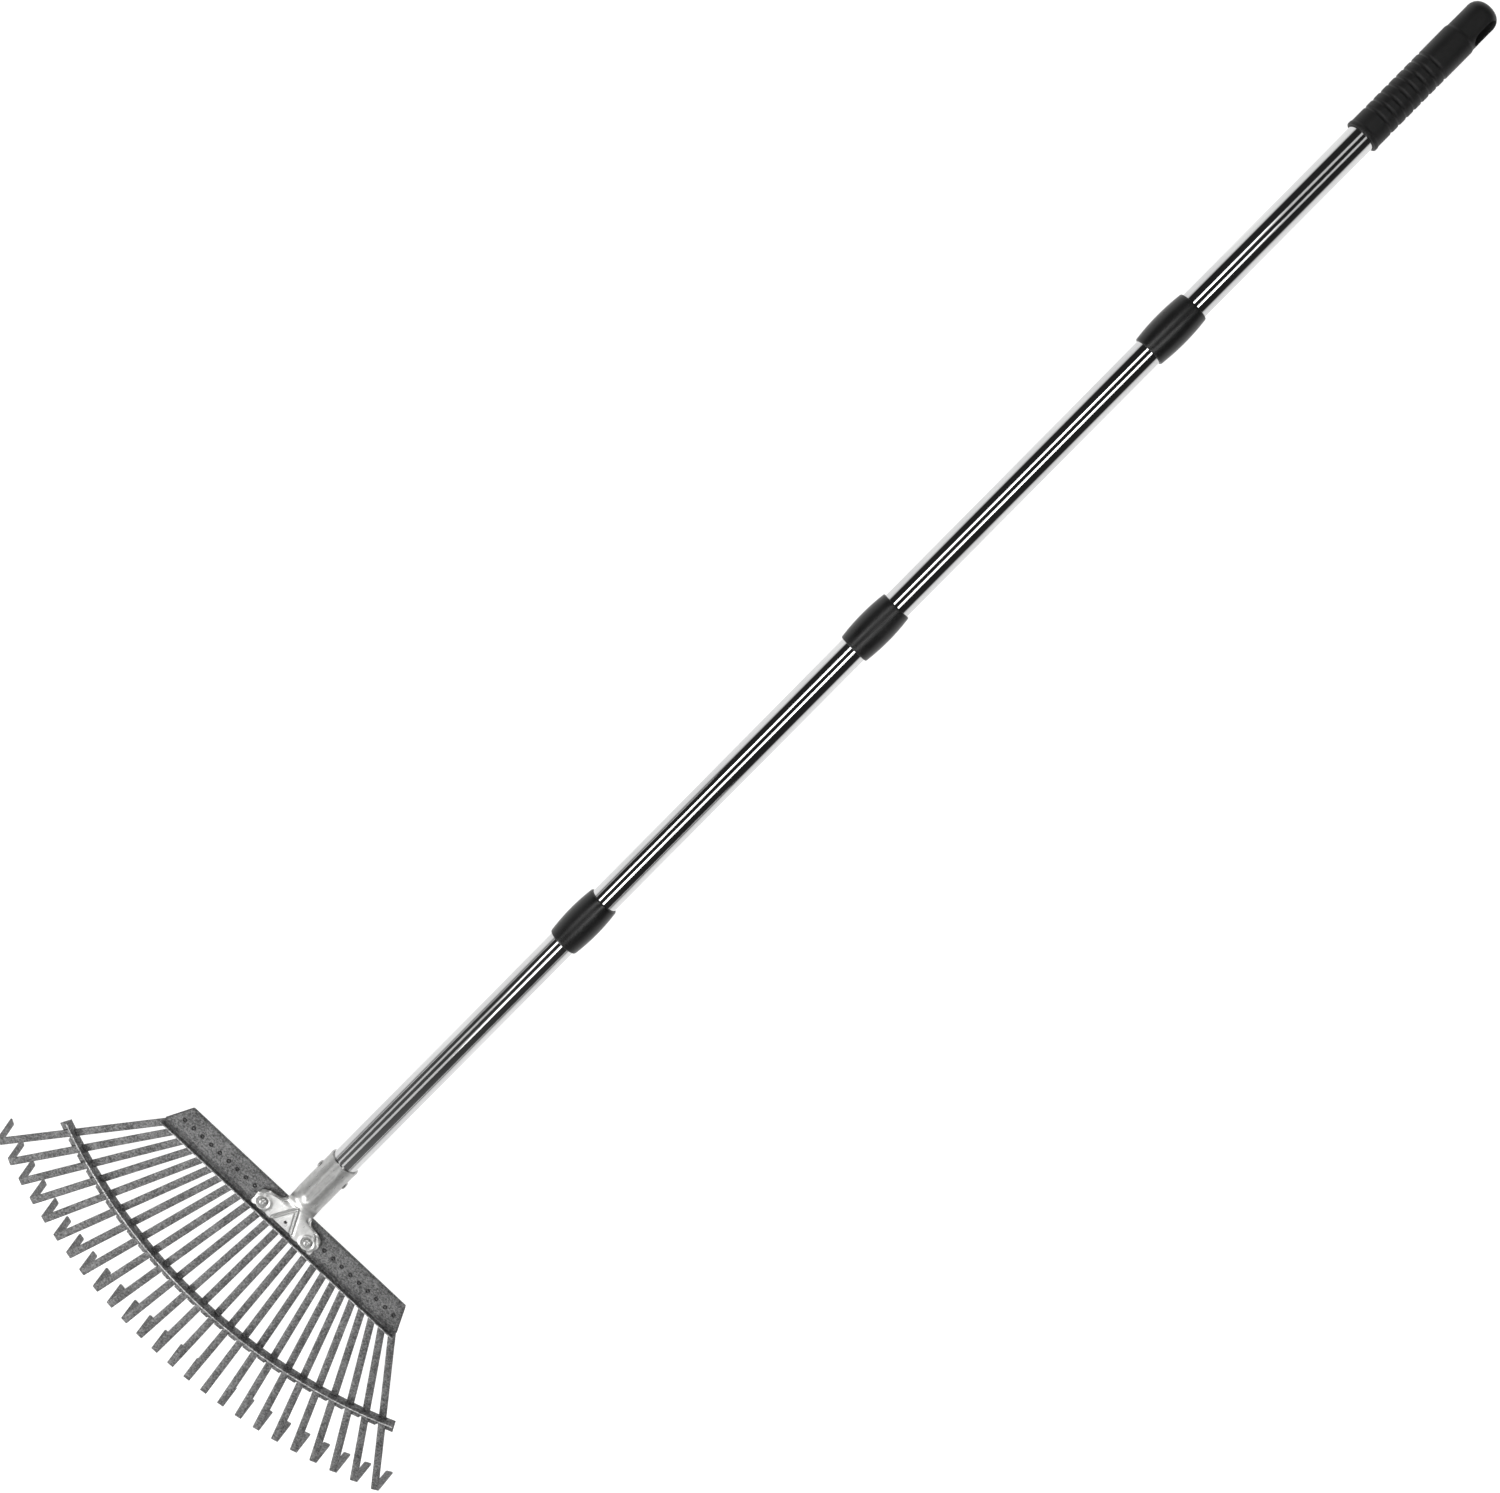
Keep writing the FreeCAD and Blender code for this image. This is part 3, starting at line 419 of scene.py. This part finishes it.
def paint_edge_highlight(item, height):
    """Lighter coat on the faces above a height over the tines: a painted highlight along the top edges."""
    item.data.materials.append(PAINTED_HIGHLIGHT_COAT)
    to_head = HEAD.inverted()
    for face in item.data.polygons:
        if (to_head @ face.center).z > height:
            face.material_index = 1


def plate_section():
    """Closed section of the folded sheet in the head's YZ plane, with a rounded lip top."""
    fold = TINE_THICK / 2
    hem = PLATE_BACK - SHEET - fold
    lip_middle = -PLATE_FRONT - SHEET / 2
    points = arc_points((lip_middle, LIP_HEIGHT - SHEET / 2), SHEET / 2, 0, 180, 6)
    points += arc_points((-PLATE_FRONT + LIP_BEND, SHEET + LIP_BEND), LIP_BEND + SHEET, 180, 270, 6)
    points += arc_points((hem, -fold), fold, 90, -90, 8)
    points += [(-HEM_START, -TINE_THICK), (-HEM_START, -TINE_THICK - SHEET)]
    points += arc_points((hem, -fold), fold + SHEET, -90, 90, 12)
    points += arc_points((-PLATE_FRONT + LIP_BEND, SHEET + LIP_BEND), LIP_BEND, 270, 180, 5)
    return points


def plate_end(y):
    """Half length of the plate at one distance behind the rivet line."""
    if y <= -CORNER_START:
        return PLATE_HALF
    return PLATE_HALF - (PLATE_HALF - CORNER_HALF) * (y + CORNER_START) / (PLATE_BACK + CORNER_START)


def make_plate():
    """The folded sheet, skinned from end to end, with a painted highlight along the lip's top."""
    bm = bmesh.new()
    section = plate_section()
    rings = []
    for number in range(PLATE_STATIONS + 1):
        share = 2 * number / PLATE_STATIONS - 1
        rings.append([bm.verts.new((share * plate_end(y), y, z)) for y, z in section])
    bridge(bm, rings)
    cap_ends(bm, rings)
    plate = piece("head_plate_sheet", bm, HEAD, "head_section", "head_plate", COAT)
    add_bevel(plate, PLATE_BEVEL)
    # painted highlight: lighter coat on the faces along the lip's top
    paint_edge_highlight(plate, LIP_HEIGHT - 0.7)


make_plate()


# ---------------------------------------------------------------- rivets
PLATE_UNDER = -TINE_THICK - SHEET
RIVET_HEAD = 2.1
RIVET_SHANK = 1.15
PIT_DEPTH = 0.3
PITTED_DOME = [(RIVET_HEAD, 0.0), (RIVET_HEAD, 0.12), (2.0, 0.45), (1.75, 0.8), (1.4, 0.98),
               (1.05, 0.9), (0.85, 0.6), (0.75, -PIT_DEPTH)]


def dome_profile(radius, rise, base, count):
    """Half section of a domed head from its rim towards its crown, which it leaves out."""
    return [(radius * math.cos(math.radians(turn)), base + rise * math.sin(math.radians(turn)))
            for turn in [90 * number / count for number in range(count)]]


def tine_rivet(bm, x, domed):
    """One small rivet: tail below the plate, shank and, unless it is under the bracket, a pitted dome."""
    tail = RIVET_HEAD - 0.2
    profile = [(0.4, PLATE_UNDER - 0.8), (tail, PLATE_UNDER - 0.8), (RIVET_HEAD, PLATE_UNDER - 0.6),
               (RIVET_HEAD, PLATE_UNDER), (RIVET_SHANK, PLATE_UNDER), (RIVET_SHANK, SHEET)]
    if domed:
        profile += [(radius, SHEET + rise) for radius, rise in PITTED_DOME]
    profile.append((0.2, SHEET - PIT_DEPTH if domed else SHEET))
    turned(bm, profile, 24, (x, 0), ring_shaped=False)


def make_tine_rivets(name, offsets, domed):
    """A group of tine rivets, its offsets counted from the middle tine."""
    bm = bmesh.new()
    for offset in offsets:
        tine_rivet(bm, offset * TINE_PITCH, domed)
    # the rivets take the very dark coat, painted shade of the pitted heads
    piece(f"{name}_heads", bm, HEAD, "head_section", name, SHADED_RIVET_COAT)


make_tine_rivets("tine_rivets_left", range(-12, -3), True)
make_tine_rivets("tine_rivets_right", range(4, 13), True)
make_tine_rivets("tine_rivets_hidden", range(-3, 4), False)


# ---------------------------------------------------------------- slotted brace
BRACE_RISE = 6.5
BRACE_BEVEL = 0.22


def make_brace():
    """The CAD strip with rolled-over edges and a painted highlight along its top."""
    source = frame["nodes"]["slotted_brace"]
    bm = bmesh.new()
    bm.from_mesh(source.data)
    bm.transform(source.matrix_world)
    bmesh.ops.remove_doubles(bm, verts=bm.verts, dist=1e-6)
    bmesh.ops.dissolve_limit(bm, angle_limit=math.radians(1), verts=bm.verts, edges=bm.edges)
    brace = piece("slotted_brace_strip", bm, Matrix.Identity(4), "head_section", "slotted_brace",
                  COAT)
    add_bevel(brace, BRACE_BEVEL)
    # painted highlight: lighter coat on the faces along the brace's top
    paint_edge_highlight(brace, BRACE_RISE - 0.3)


make_brace()


# ---------------------------------------------------------------- socket bracket
BRACKET_SHEET = 2.0
SOCKET_RADIUS = 14.2
SOCKET_WALL = 1.6
SOCKET_END = 48.8
SEAM = 174.0
RIVET_SIDE = 26.2
RIVET_FRONT = 4.9
ARM_RIVET_HEAD = 4.5
ARM_RIVET_SHANK = 1.9
SOCKET_RIVET_PLACE = 33.0
ARM_SPAN = 25.5
ARM_CENTRE = -2.0
ARM_RADIUS = 10.0
ARM_END = 8.0
TAB_SIDE = 32.7
TAB_FRONT = 10.6
TAB_RADIUS = 2.4
NECK_HALF = 14.0
BRACKET_FRONT = -12.5
FRONT_END = -6.0
FRONT_HALF = 35.0
FLAT_END = 15.0
GROWTH_END = 40.0
HOLE_RADIUS = 1.6
HOLE_CENTRE = -4.5
BRACKET_COLUMNS = 96
BRACKET_ANGLE = 50
BRACKET_TOP = SHEET + BRACKET_SHEET
SOCKET_REACH = NECK_BEHIND + SOCKET_END * math.cos(BEND_ANGLE) + SOCKET_RADIUS * math.sin(BEND_ANGLE)


def bracket_front(x):
    """Front edge of the bracket: straight middle, shoulders, small notches and the tabs."""
    x = abs(x)
    if x > TAB_SIDE - TAB_RADIUS:
        return -TAB_FRONT - math.sqrt(max(TAB_RADIUS ** 2 - (x - TAB_SIDE) ** 2, 0))
    if x > ARM_SPAN - 3:
        return ARM_CENTRE - math.sqrt(max(ARM_RADIUS ** 2 - (x - ARM_SPAN) ** 2, 0))
    notch = 0.9 * math.exp(-((x - 19) / 1.3) ** 2)
    return -10.4 - 1.5 * smoothstep(9, 12.5, x) + notch


def bracket_half_width(y):
    """Half width of the flat part: round arm ends, concave rear edges and the neck."""
    lobe = 0
    if y < ARM_END:
        lobe = ARM_SPAN + math.sqrt(max(ARM_RADIUS ** 2 - (y - ARM_CENTRE) ** 2, 0))
    tab = 0
    if abs(y + TAB_FRONT) < TAB_RADIUS:
        tab = TAB_SIDE + math.sqrt(TAB_RADIUS ** 2 - (y + TAB_FRONT) ** 2)
    waist = NECK_HALF + 11.5 * math.exp(-(max(y - ARM_END, 0) / 2.4) ** 0.9)
    return max(lobe, tab, waist)


def triangle_distance(x, y):
    """Distance from the two slanted lines of the embossed open triangle."""
    foot_x, foot_y, peak_y = 10.6, -9.4, 14.0
    x = abs(x)
    run, rise = -foot_x, peak_y - foot_y
    share = ((x - foot_x) * run + (y - foot_y) * rise) / (run * run + rise * rise)
    share = min(max(share, 0), 1)
    return math.hypot(x - foot_x - share * run, y - foot_y - share * rise)


def stamped_line(x, y):
    """Raised line of the triangle between two pressed grooves."""
    distance = triangle_distance(x, y)
    return 0.45 * math.exp(-((distance / 0.7) ** 4)) - 0.6 * math.exp(-(((distance - 1.5) / 0.6) ** 2))


def bracket_height(x, y, half_width):
    """Height of the stamped face above the flat sheet."""
    edge = half_width - abs(x)
    rim = smoothstep(-1, 4, y) * smoothstep(10, 15, abs(x))
    bead = 1.7 * rim * math.exp(-((edge / 1.6) ** 2))
    gutter = 0.9 * rim * math.exp(-(((edge - 4.0) / 1.3) ** 2))
    from_rivet = math.hypot(abs(x) - RIVET_SIDE, y + RIVET_FRONT)
    rivet_ring = 0.55 * math.exp(-(((from_rivet - 6.6) / 1.3) ** 2))
    swell = 0.5 * smoothstep(20, 6, abs(x)) * smoothstep(-6, 12, y)
    return stamped_line(x, y) + bead - gutter + rivet_ring + swell


def crown_line(y):
    """Top line of the bracket in the head's YZ plane, from the flat sheet to the socket."""
    start, finish = 11.0, 32.0
    slope = -math.tan(BEND_ANGLE)
    top_finish = -NECK_BELOW + (finish - NECK_BEHIND) * slope + SOCKET_RADIUS / math.cos(BEND_ANGLE)
    if y <= start:
        return BRACKET_TOP
    if y >= finish:
        return top_finish + (y - finish) * slope
    share = (y - start) / (finish - start)
    ease = share * share * (share - 1) * (finish - start) * slope
    return BRACKET_TOP + (top_finish - BRACKET_TOP) * smoothstep(start, finish, y) + ease


def flat_point(share, y):
    """Point of the flat part with its arms; in front the rows close up to the front edge."""
    closing = max(FRONT_END - y, 0) / (FRONT_END - BRACKET_FRONT)
    half = bracket_half_width(max(y, FRONT_END))
    half += (FRONT_HALF - half) * closing
    x = share * half
    if closing:
        y = bracket_front(x) + (1 - closing) * (FRONT_END - bracket_front(x))
    drop = 1.4 * smoothstep(ARM_END, FLAT_END, y) * (x / NECK_HALF) ** 2
    return Vector((x, y, crown_line(y) + bracket_height(x, y, half) - drop))


def bracket_point(share, y):
    """Point of the bracket's outer face: share runs from -1 to 1 across, y along the head.

    Behind the flat part the sheet curls down on both sides until it meets as the socket.
    """
    if y <= FLAT_END:
        return flat_point(share, y)
    growth = smoothstep(FLAT_END, GROWTH_END, y)
    angle = math.radians(10 + (SEAM - 10) * growth ** 0.85)
    radius = NECK_HALF / math.sin(angle) if angle < math.pi / 2 else NECK_HALF
    radius += (SOCKET_RADIUS - NECK_HALF) * growth
    radius += 0.3 * smoothstep(3.5, 0, abs(y - 69.5))  # bead near the socket's mouth
    tilt = BEND_ANGLE * growth
    turn = share * angle
    x = radius * math.sin(turn)
    crease = 0.5 * math.exp(-(x / 1.6) ** 2) * smoothstep(24, 36, y) * (1 - smoothstep(60, 66, y))
    stamped = stamped_line(x, y) * (1 - growth)
    swell = (1 - smoothstep(FLAT_END, FLAT_END + 6, y)) * math.cos(share * 1.4)
    down = radius * (1 - math.cos(turn)) + crease - stamped - swell
    return Vector((x, y - down * math.sin(tilt), crown_line(y) - down * math.cos(tilt)))


def bracket_rows():
    """Stations along the head: front edge, flat part and socket."""
    rows = [BRACKET_FRONT + 0.5 * number for number in range(13)]
    rows += [FRONT_END + 0.35 * number for number in range(1, 61)]
    count = 90
    rows += [FLAT_END + (SOCKET_REACH - FLAT_END) * number / count for number in range(1, count + 1)]
    return rows


def make_bracket():
    """Stamped bracket as one skin, thickened inwards, with its small hole in the triangle."""
    shares = [2 * number / BRACKET_COLUMNS - 1 for number in range(BRACKET_COLUMNS + 1)]
    bm = bmesh.new()
    grid = [[bm.verts.new(bracket_point(share, y)) for share in shares] for y in bracket_rows()]
    bridge(bm, grid, closed=False)
    bracket = piece("socket_bracket_stamping", bm, HEAD, "head_section", "socket_bracket",
                    ZINC, BRACKET_ANGLE)
    solid = bracket.modifiers.new("sheet", "SOLIDIFY")
    solid.thickness = SOCKET_WALL * MM
    solid.offset = -1
    solid.use_even_offset = False
    apply_modifiers(bracket)
    drill = bmesh.new()
    side = [(HOLE_RADIUS, -2), (HOLE_RADIUS, BRACKET_TOP + 3)]
    turned(drill, side, 32, (0, HOLE_CENTRE), ring_shaped=False)
    cut_away(bracket, "bracket_drill", drill, HEAD, BRACKET_ANGLE)


def make_bracket_rivets():
    """Domed rivets of the arms with a dimple in the crown."""
    bm = bmesh.new()
    profile = [(0.5, PLATE_UNDER - 1), (ARM_RIVET_HEAD - 0.3, PLATE_UNDER - 1),
               (ARM_RIVET_HEAD, PLATE_UNDER - 0.7), (ARM_RIVET_HEAD, PLATE_UNDER),
               (ARM_RIVET_SHANK, PLATE_UNDER), (ARM_RIVET_SHANK, BRACKET_TOP),
               (ARM_RIVET_HEAD - 0.1, BRACKET_TOP)]
    profile += dome_profile(ARM_RIVET_HEAD, 2.3, BRACKET_TOP + 0.2, 8)[:-2]
    profile += [(1.5, BRACKET_TOP + 2.4), (1.2, BRACKET_TOP + 2.1), (0.4, BRACKET_TOP + 1.9)]
    for side in (-1, 1):
        turned(bm, profile, 40, (side * RIVET_SIDE, -RIVET_FRONT), ring_shaped=False)
    piece("bracket_rivet_heads", bm, HEAD, "head_section", "bracket_rivets", ZINC)


def make_socket_rivet():
    """Rivet across the socket, a low domed head at each side."""
    bm = bmesh.new()
    half = [(2.0, SOCKET_RADIUS), (3.5, SOCKET_RADIUS), (3.45, SOCKET_RADIUS + 0.35)]
    half += dome_profile(3.3, 1.15, SOCKET_RADIUS + 0.45, 6)[1:]
    half.append((0.3, SOCKET_RADIUS + 1.6))
    profile = [(radius, -height) for radius, height in reversed(half)] + half
    turned(bm, profile, 32, ring_shaped=False)
    sideways = Matrix.Translation((0, 0, SOCKET_RIVET_PLACE)) @ Matrix.Rotation(math.pi / 2, 4, "Y")
    piece("socket_rivet_pin", bm, POLE @ sideways, "head_section", "socket_rivet", ZINC)


make_bracket()
make_bracket_rivets()
make_socket_rivet()


# ---------------------------------------------------------------- pole sections
TUBE_RADIUS = 12.5
TUBE_WALL = 1.0
TUBE_START = 15.0
TUBE_ROUND = 0.3
TUBE_STEPS = 16
TUBE_FIT = 0.03  # clearance between a tube and the bore it sits in
SLEEVE_HALF = 25.0
SLEEVE_BELLY = 15.8
SLEEVE_END = 14.25
SLEEVE_ROUND = 0.9
SLEEVE_STEPS = 24
LOWER_DEPTH = 20.0
MOUTH_RADIUS = 12.9
MOUTH_DEPTH = 6.0
THREAD_BORE = 9.5
THREAD_RADIUS = 9.15
THREAD_DEPTH = 1.1
THREAD_PITCH = 4.0
THREAD_STEPS = 90
SEAT = 19.4
PLUG_REACH = 22.6
PLUG_LOW = SEAT - PLUG_REACH
PLUG_BORE = 5.5
PLUG_SHAFT = 11.15
PLUG_SHAFT_END = SEAT + 25
ROUND_SEGMENTS = 128
GRIP_START = 1239.0
GRIP_LENGTH = 135.0
GRIP_BORE = 101.0
SECTION_BODIES = ["head_section", "section_2", "section_3", "section_4"]
PLUG_BODIES = ["plug_1", "plug_2", "plug_3"]


def coupling_place(number):
    """Distance of a coupling's middle from the pole's origin at the neck."""
    return COUPLING_PLACES[number - 1]


def make_tube(number):
    """Thin tube from its seat on the coupling below into the sleeve or the grip above."""
    start = TUBE_START if number == 1 else coupling_place(number - 1) + SEAT
    end = coupling_place(number) - SLEEVE_HALF + LOWER_DEPTH if number < 4 else GRIP_START + GRIP_BORE - 2
    inner = TUBE_RADIUS - TUBE_WALL
    edge = TUBE_RADIUS - TUBE_ROUND
    profile = [(inner, start), (edge, start), (TUBE_RADIUS, start + TUBE_ROUND)]
    profile += [(TUBE_RADIUS, start + (end - start) * step / TUBE_STEPS) for step in range(1, TUBE_STEPS)]
    profile += [(TUBE_RADIUS, end - TUBE_ROUND), (edge, end), (inner, end)]
    bm = bmesh.new()
    turned(bm, profile, ROUND_SEGMENTS)
    piece(f"tube_{number}_shell", bm, POLE, SECTION_BODIES[number - 1], f"tube_{number}",
          STEEL)


def make_sleeve(number):
    """Barrel sleeve with rounded ends and a socket at each end."""
    centre = coupling_place(number)
    run = SLEEVE_HALF - SLEEVE_ROUND
    lower_bore = TUBE_RADIUS + TUBE_FIT
    floor = -SLEEVE_HALF + LOWER_DEPTH
    profile = [(lower_bore, -SLEEVE_HALF + 0.4), (lower_bore + 0.4, -SLEEVE_HALF)]
    profile += [(SLEEVE_END - SLEEVE_ROUND, -SLEEVE_HALF), (SLEEVE_END - 0.3, -SLEEVE_HALF + 0.3)]
    for step in range(SLEEVE_STEPS + 1):
        height = run * (2 * step / SLEEVE_STEPS - 1)
        profile.append((SLEEVE_END + (SLEEVE_BELLY - SLEEVE_END) * (1 - (height / run) ** 2), height))
    profile += [(SLEEVE_END - 0.3, SLEEVE_HALF - 0.3), (SLEEVE_END - SLEEVE_ROUND, SLEEVE_HALF)]
    profile += [(MOUTH_RADIUS + 0.3, SLEEVE_HALF), (MOUTH_RADIUS, SLEEVE_HALF - 0.3)]
    profile += [(MOUTH_RADIUS, SLEEVE_HALF - MOUTH_DEPTH), (THREAD_BORE, SLEEVE_HALF - MOUTH_DEPTH)]
    profile += [(THREAD_BORE, floor), (lower_bore, floor)]
    bm = bmesh.new()
    turned(bm, [(radius, centre + height) for radius, height in profile], ROUND_SEGMENTS)
    piece(f"coupling_sleeve_{number}_barrel", bm, POLE, SECTION_BODIES[number - 1],
          f"coupling_sleeve_{number}", SLEEVE)


def thread_radius(radius, turn, height):
    """Radius with a rounded helical thread where the plug's profile is at the thread's radius."""
    if radius != THREAD_RADIUS:
        return radius
    phase = height / THREAD_PITCH - turn / (2 * math.pi)
    lead_in = smoothstep(PLUG_LOW + 0.5, PLUG_LOW + 2.5, height)
    run_out = smoothstep(SEAT - 0.3, SEAT - 2, height)
    ridge = lead_in * run_out * (0.5 + 0.5 * math.cos(2 * math.pi * phase))
    return radius - THREAD_DEPTH * (1 - ridge)


def make_plug(number):
    """Hollow screw plug: threaded end in the sleeve, shaft in the tube above."""
    profile = [(PLUG_BORE, PLUG_LOW), (7.6, PLUG_LOW)]
    for step in range(THREAD_STEPS + 1):
        profile.append((THREAD_RADIUS, PLUG_LOW + 0.6 + (PLUG_REACH - 0.7) * step / THREAD_STEPS))
    profile += [(PLUG_SHAFT, SEAT), (PLUG_SHAFT, PLUG_SHAFT_END), (PLUG_BORE, PLUG_SHAFT_END)]
    bm = bmesh.new()
    turned(bm, profile, 72, radius_at=thread_radius)
    place = POLE @ Matrix.Translation((0, 0, coupling_place(number)))
    piece(f"threaded_plug_{number}_screw", bm, place, PLUG_BODIES[number - 1], f"threaded_plug_{number}",
          PLUG)


for section_number in (1, 2, 3, 4):
    make_tube(section_number)
for coupling_number in (1, 2, 3):
    make_sleeve(coupling_number)
    make_plug(coupling_number)


# ---------------------------------------------------------------- grip
GRIP_RADIUS = 14.75
GRIP_FLARE = 15.3
LOOP_START = 105.0
LOOP_RADIUS = 14.0
LOOP_ROUND = 9.0
SLOT_CENTRE = 119.0
SLOT_WIDTH = 13.0
SLOT_LENGTH = 22.0
SLOT_TURN = math.radians(-27)
GROOVES = [18.0 + 8.1 * number for number in range(8)]
GROOVE_HALF = 1.25
GROOVE_DEPTH = 0.7
GRIP_STEP = 0.5
GRIP_ANGLE = 40
SLOT_FLARE = 1.4


def grip_radius(height):
    """Outer radius of the grip at a height above its lower end."""
    radius = GRIP_RADIUS + (GRIP_FLARE - GRIP_RADIUS) * (1 - smoothstep(2.4, 4.4, height))
    for groove in GROOVES:
        radius -= GROOVE_DEPTH * math.exp(-((height - groove) / GROOVE_HALF) ** 4)
    radius -= (GRIP_RADIUS - LOOP_RADIUS) * smoothstep(LOOP_START - 2.4, LOOP_START + 0.6, height)
    return radius


def slot_cutter():
    """Rod with round-ended section that flares where it meets the outside of the grip."""
    bm = bmesh.new()
    straight = (SLOT_LENGTH - SLOT_WIDTH) / 2
    rings = []
    for depth in (-22, -14, -13, -12, -11, -9, 9, 11, 12, 13, 14, 22):
        radius = SLOT_WIDTH / 2 + SLOT_FLARE * smoothstep(9, 14, abs(depth)) ** 2
        outline = arc_points((0, straight), radius, 0, 180, 16)
        outline += arc_points((0, -straight), radius, 180, 360, 16)
        rings.append([bm.verts.new((depth, across, SLOT_CENTRE + GRIP_START + along))
                      for across, along in outline])
    bridge(bm, rings)
    cap_ends(bm, rings)
    return bm


def make_grip():
    """Grooved moulding with a closed rounded end and a slot right through it."""
    bore = TUBE_RADIUS + TUBE_FIT
    profile = [(bore, 0.4), (bore + 0.4, 0), (GRIP_FLARE - 0.6, 0), (GRIP_FLARE - 0.18, 0.18)]
    last = GRIP_LENGTH - LOOP_ROUND
    heights = [GRIP_STEP * number for number in range(1, int(last / GRIP_STEP) + 1)]
    profile += [(grip_radius(height), height) for height in heights]
    profile += arc_points((LOOP_RADIUS - LOOP_ROUND, last), LOOP_ROUND, 0, 90, 12)[1:]
    profile += [(2.0, GRIP_LENGTH), (0.02, GRIP_LENGTH), (0.02, GRIP_BORE), (bore, GRIP_BORE)]
    bm = bmesh.new()
    turned(bm, [(radius, GRIP_START + height) for radius, height in profile], ROUND_SEGMENTS)
    grip = piece("grip_moulding", bm, POLE, "section_4", "grip", GRIP, GRIP_ANGLE)
    place = POLE @ Matrix.Rotation(SLOT_TURN, 4, "Z")
    cut_away(grip, "hang_slot_cutter", slot_cutter(), place, GRIP_ANGLE)


make_grip()


# ---------------------------------------------------------------- floor, lights and camera
FLOOR_HALF = 40.0
STRIP_TURN = -16.0
CAMERA_PLACE = (-0.11546, 0.26257, 1.74116)
CAMERA_TURN = (-9.4342, 4.0347, 44.2632)
CAMERA_LENS = 49.691


def make_floor():
    """Plain pale light table: mostly lit from within, so that shadows on it stay faint."""
    material, tree, shader = new_material("studio_floor")
    shader.inputs["Roughness"].default_value = 0.9
    shader.inputs["Specular IOR Level"].default_value = 0.0
    shader.inputs["Emission Color"].default_value = (1, 1, 1, 1)
    shader.inputs["Emission Strength"].default_value = 0.86
    tone = noise(tree, 3, 2, 0.5)
    paint(tree, shader, "Base Color", tone, [(0.3, 0.32), (0.7, 0.34)])
    corners = [(x * FLOOR_HALF, y * FLOOR_HALF, 0) for x, y in ((-1, -1), (1, -1), (1, 1), (-1, 1))]
    mesh = bpy.data.meshes.new("floor")
    mesh.from_pydata(corners, [], [(0, 1, 2, 3)])
    floor = bpy.data.objects.new("floor", mesh)
    floor.data.materials.append(material)
    bpy.context.scene.collection.objects.link(floor)


def area_light(name, place, size, radiance, turn=(0, 0, 0), seen_in_gloss=True):
    """Rectangular light of a given radiance that faces down before it is turned, in degrees."""
    light = bpy.data.lights.new(name, "AREA")
    light.shape = "RECTANGLE"
    light.size, light.size_y = size
    light.energy = radiance * math.pi * size[0] * size[1]
    lamp = bpy.data.objects.new(name, light)
    lamp.location = place
    lamp.rotation_euler = [math.radians(angle) for angle in turn]
    lamp.visible_glossy = seen_in_gloss
    bpy.context.scene.collection.objects.link(lamp)


def make_world():
    """Studio surroundings: pale low down, grey behind the head, dark over the rest of the pole."""
    world = bpy.data.worlds.new("studio")
    bpy.context.scene.world = world
    world.use_nodes = True
    tree = world.node_tree
    coords = add_node(tree, "ShaderNodeTexCoord")
    split = add_node(tree, "ShaderNodeSeparateXYZ")
    tree.links.new(coords.outputs["Generated"], split.inputs["Vector"])
    low = ramp(tree, split.outputs["Z"], [(0.0, 1.0), (0.12, 0.9), (0.25, 0.03), (1.0, 0.02)])
    across = math_node(tree, "MULTIPLY", math_node(tree, "ADD", split.outputs["Y"], 1.0), 0.5)
    behind_head = ramp(tree, across, [(0.285, 0.34), (0.315, 0.2), (0.355, 0.06), (0.42, 0.02)])
    sky = math_node(tree, "MAXIMUM", low, behind_head)
    tree.links.new(sky, tree.nodes["Background"].inputs["Color"])


def make_lights():
    """Even light from above, a key from the side of the tines, and strips over the pole."""
    area_light("overhead", (0, 0, 4.0), (5.0, 5.0), 0.8, seen_in_gloss=False)
    area_light("key", (-0.9, -3.3, 2.0), (2.2, 1.1), 8.0, (55, 0, -14))
    along = Vector((math.sin(math.radians(-STRIP_TURN)), math.cos(math.radians(-STRIP_TURN)), 0))
    for side in (-1, 1):
        centre = Vector((-0.27 + side * 0.86, 0, 2.3))
        tilt = math.degrees(math.atan2(centre.x, centre.z))
        area_light(f"strip_{side}", centre, (0.62, 4.8), 0.8, (0, tilt, STRIP_TURN))
        area_light(f"bright_strip_{side}", centre + along * 0.1 - Vector((0, 0, 0.02)), (0.46, 2.2), 4.0,
                   (0, tilt, STRIP_TURN))
        area_light(f"side_strip_{side}", (side * 2.4, -1.5, 0.95), (0.25, 2.2), 0.8, (0, side * 68, 0))
    area_light("head_card", (-0.4, -2.6, 2.6), (4.0, 1.2), 0.3, (20, 0, 0))


def make_camera():
    camera = bpy.data.cameras.new("camera")
    camera.lens = CAMERA_LENS
    camera.sensor_width = 36
    viewer = bpy.data.objects.new("camera", camera)
    viewer.location = CAMERA_PLACE
    viewer.rotation_euler = [math.radians(turn) for turn in CAMERA_TURN]
    bpy.context.scene.collection.objects.link(viewer)
    bpy.context.scene.camera = viewer


make_floor()
make_world()
make_lights()
make_camera()
bpy.context.scene.view_settings.view_transform = "Standard"
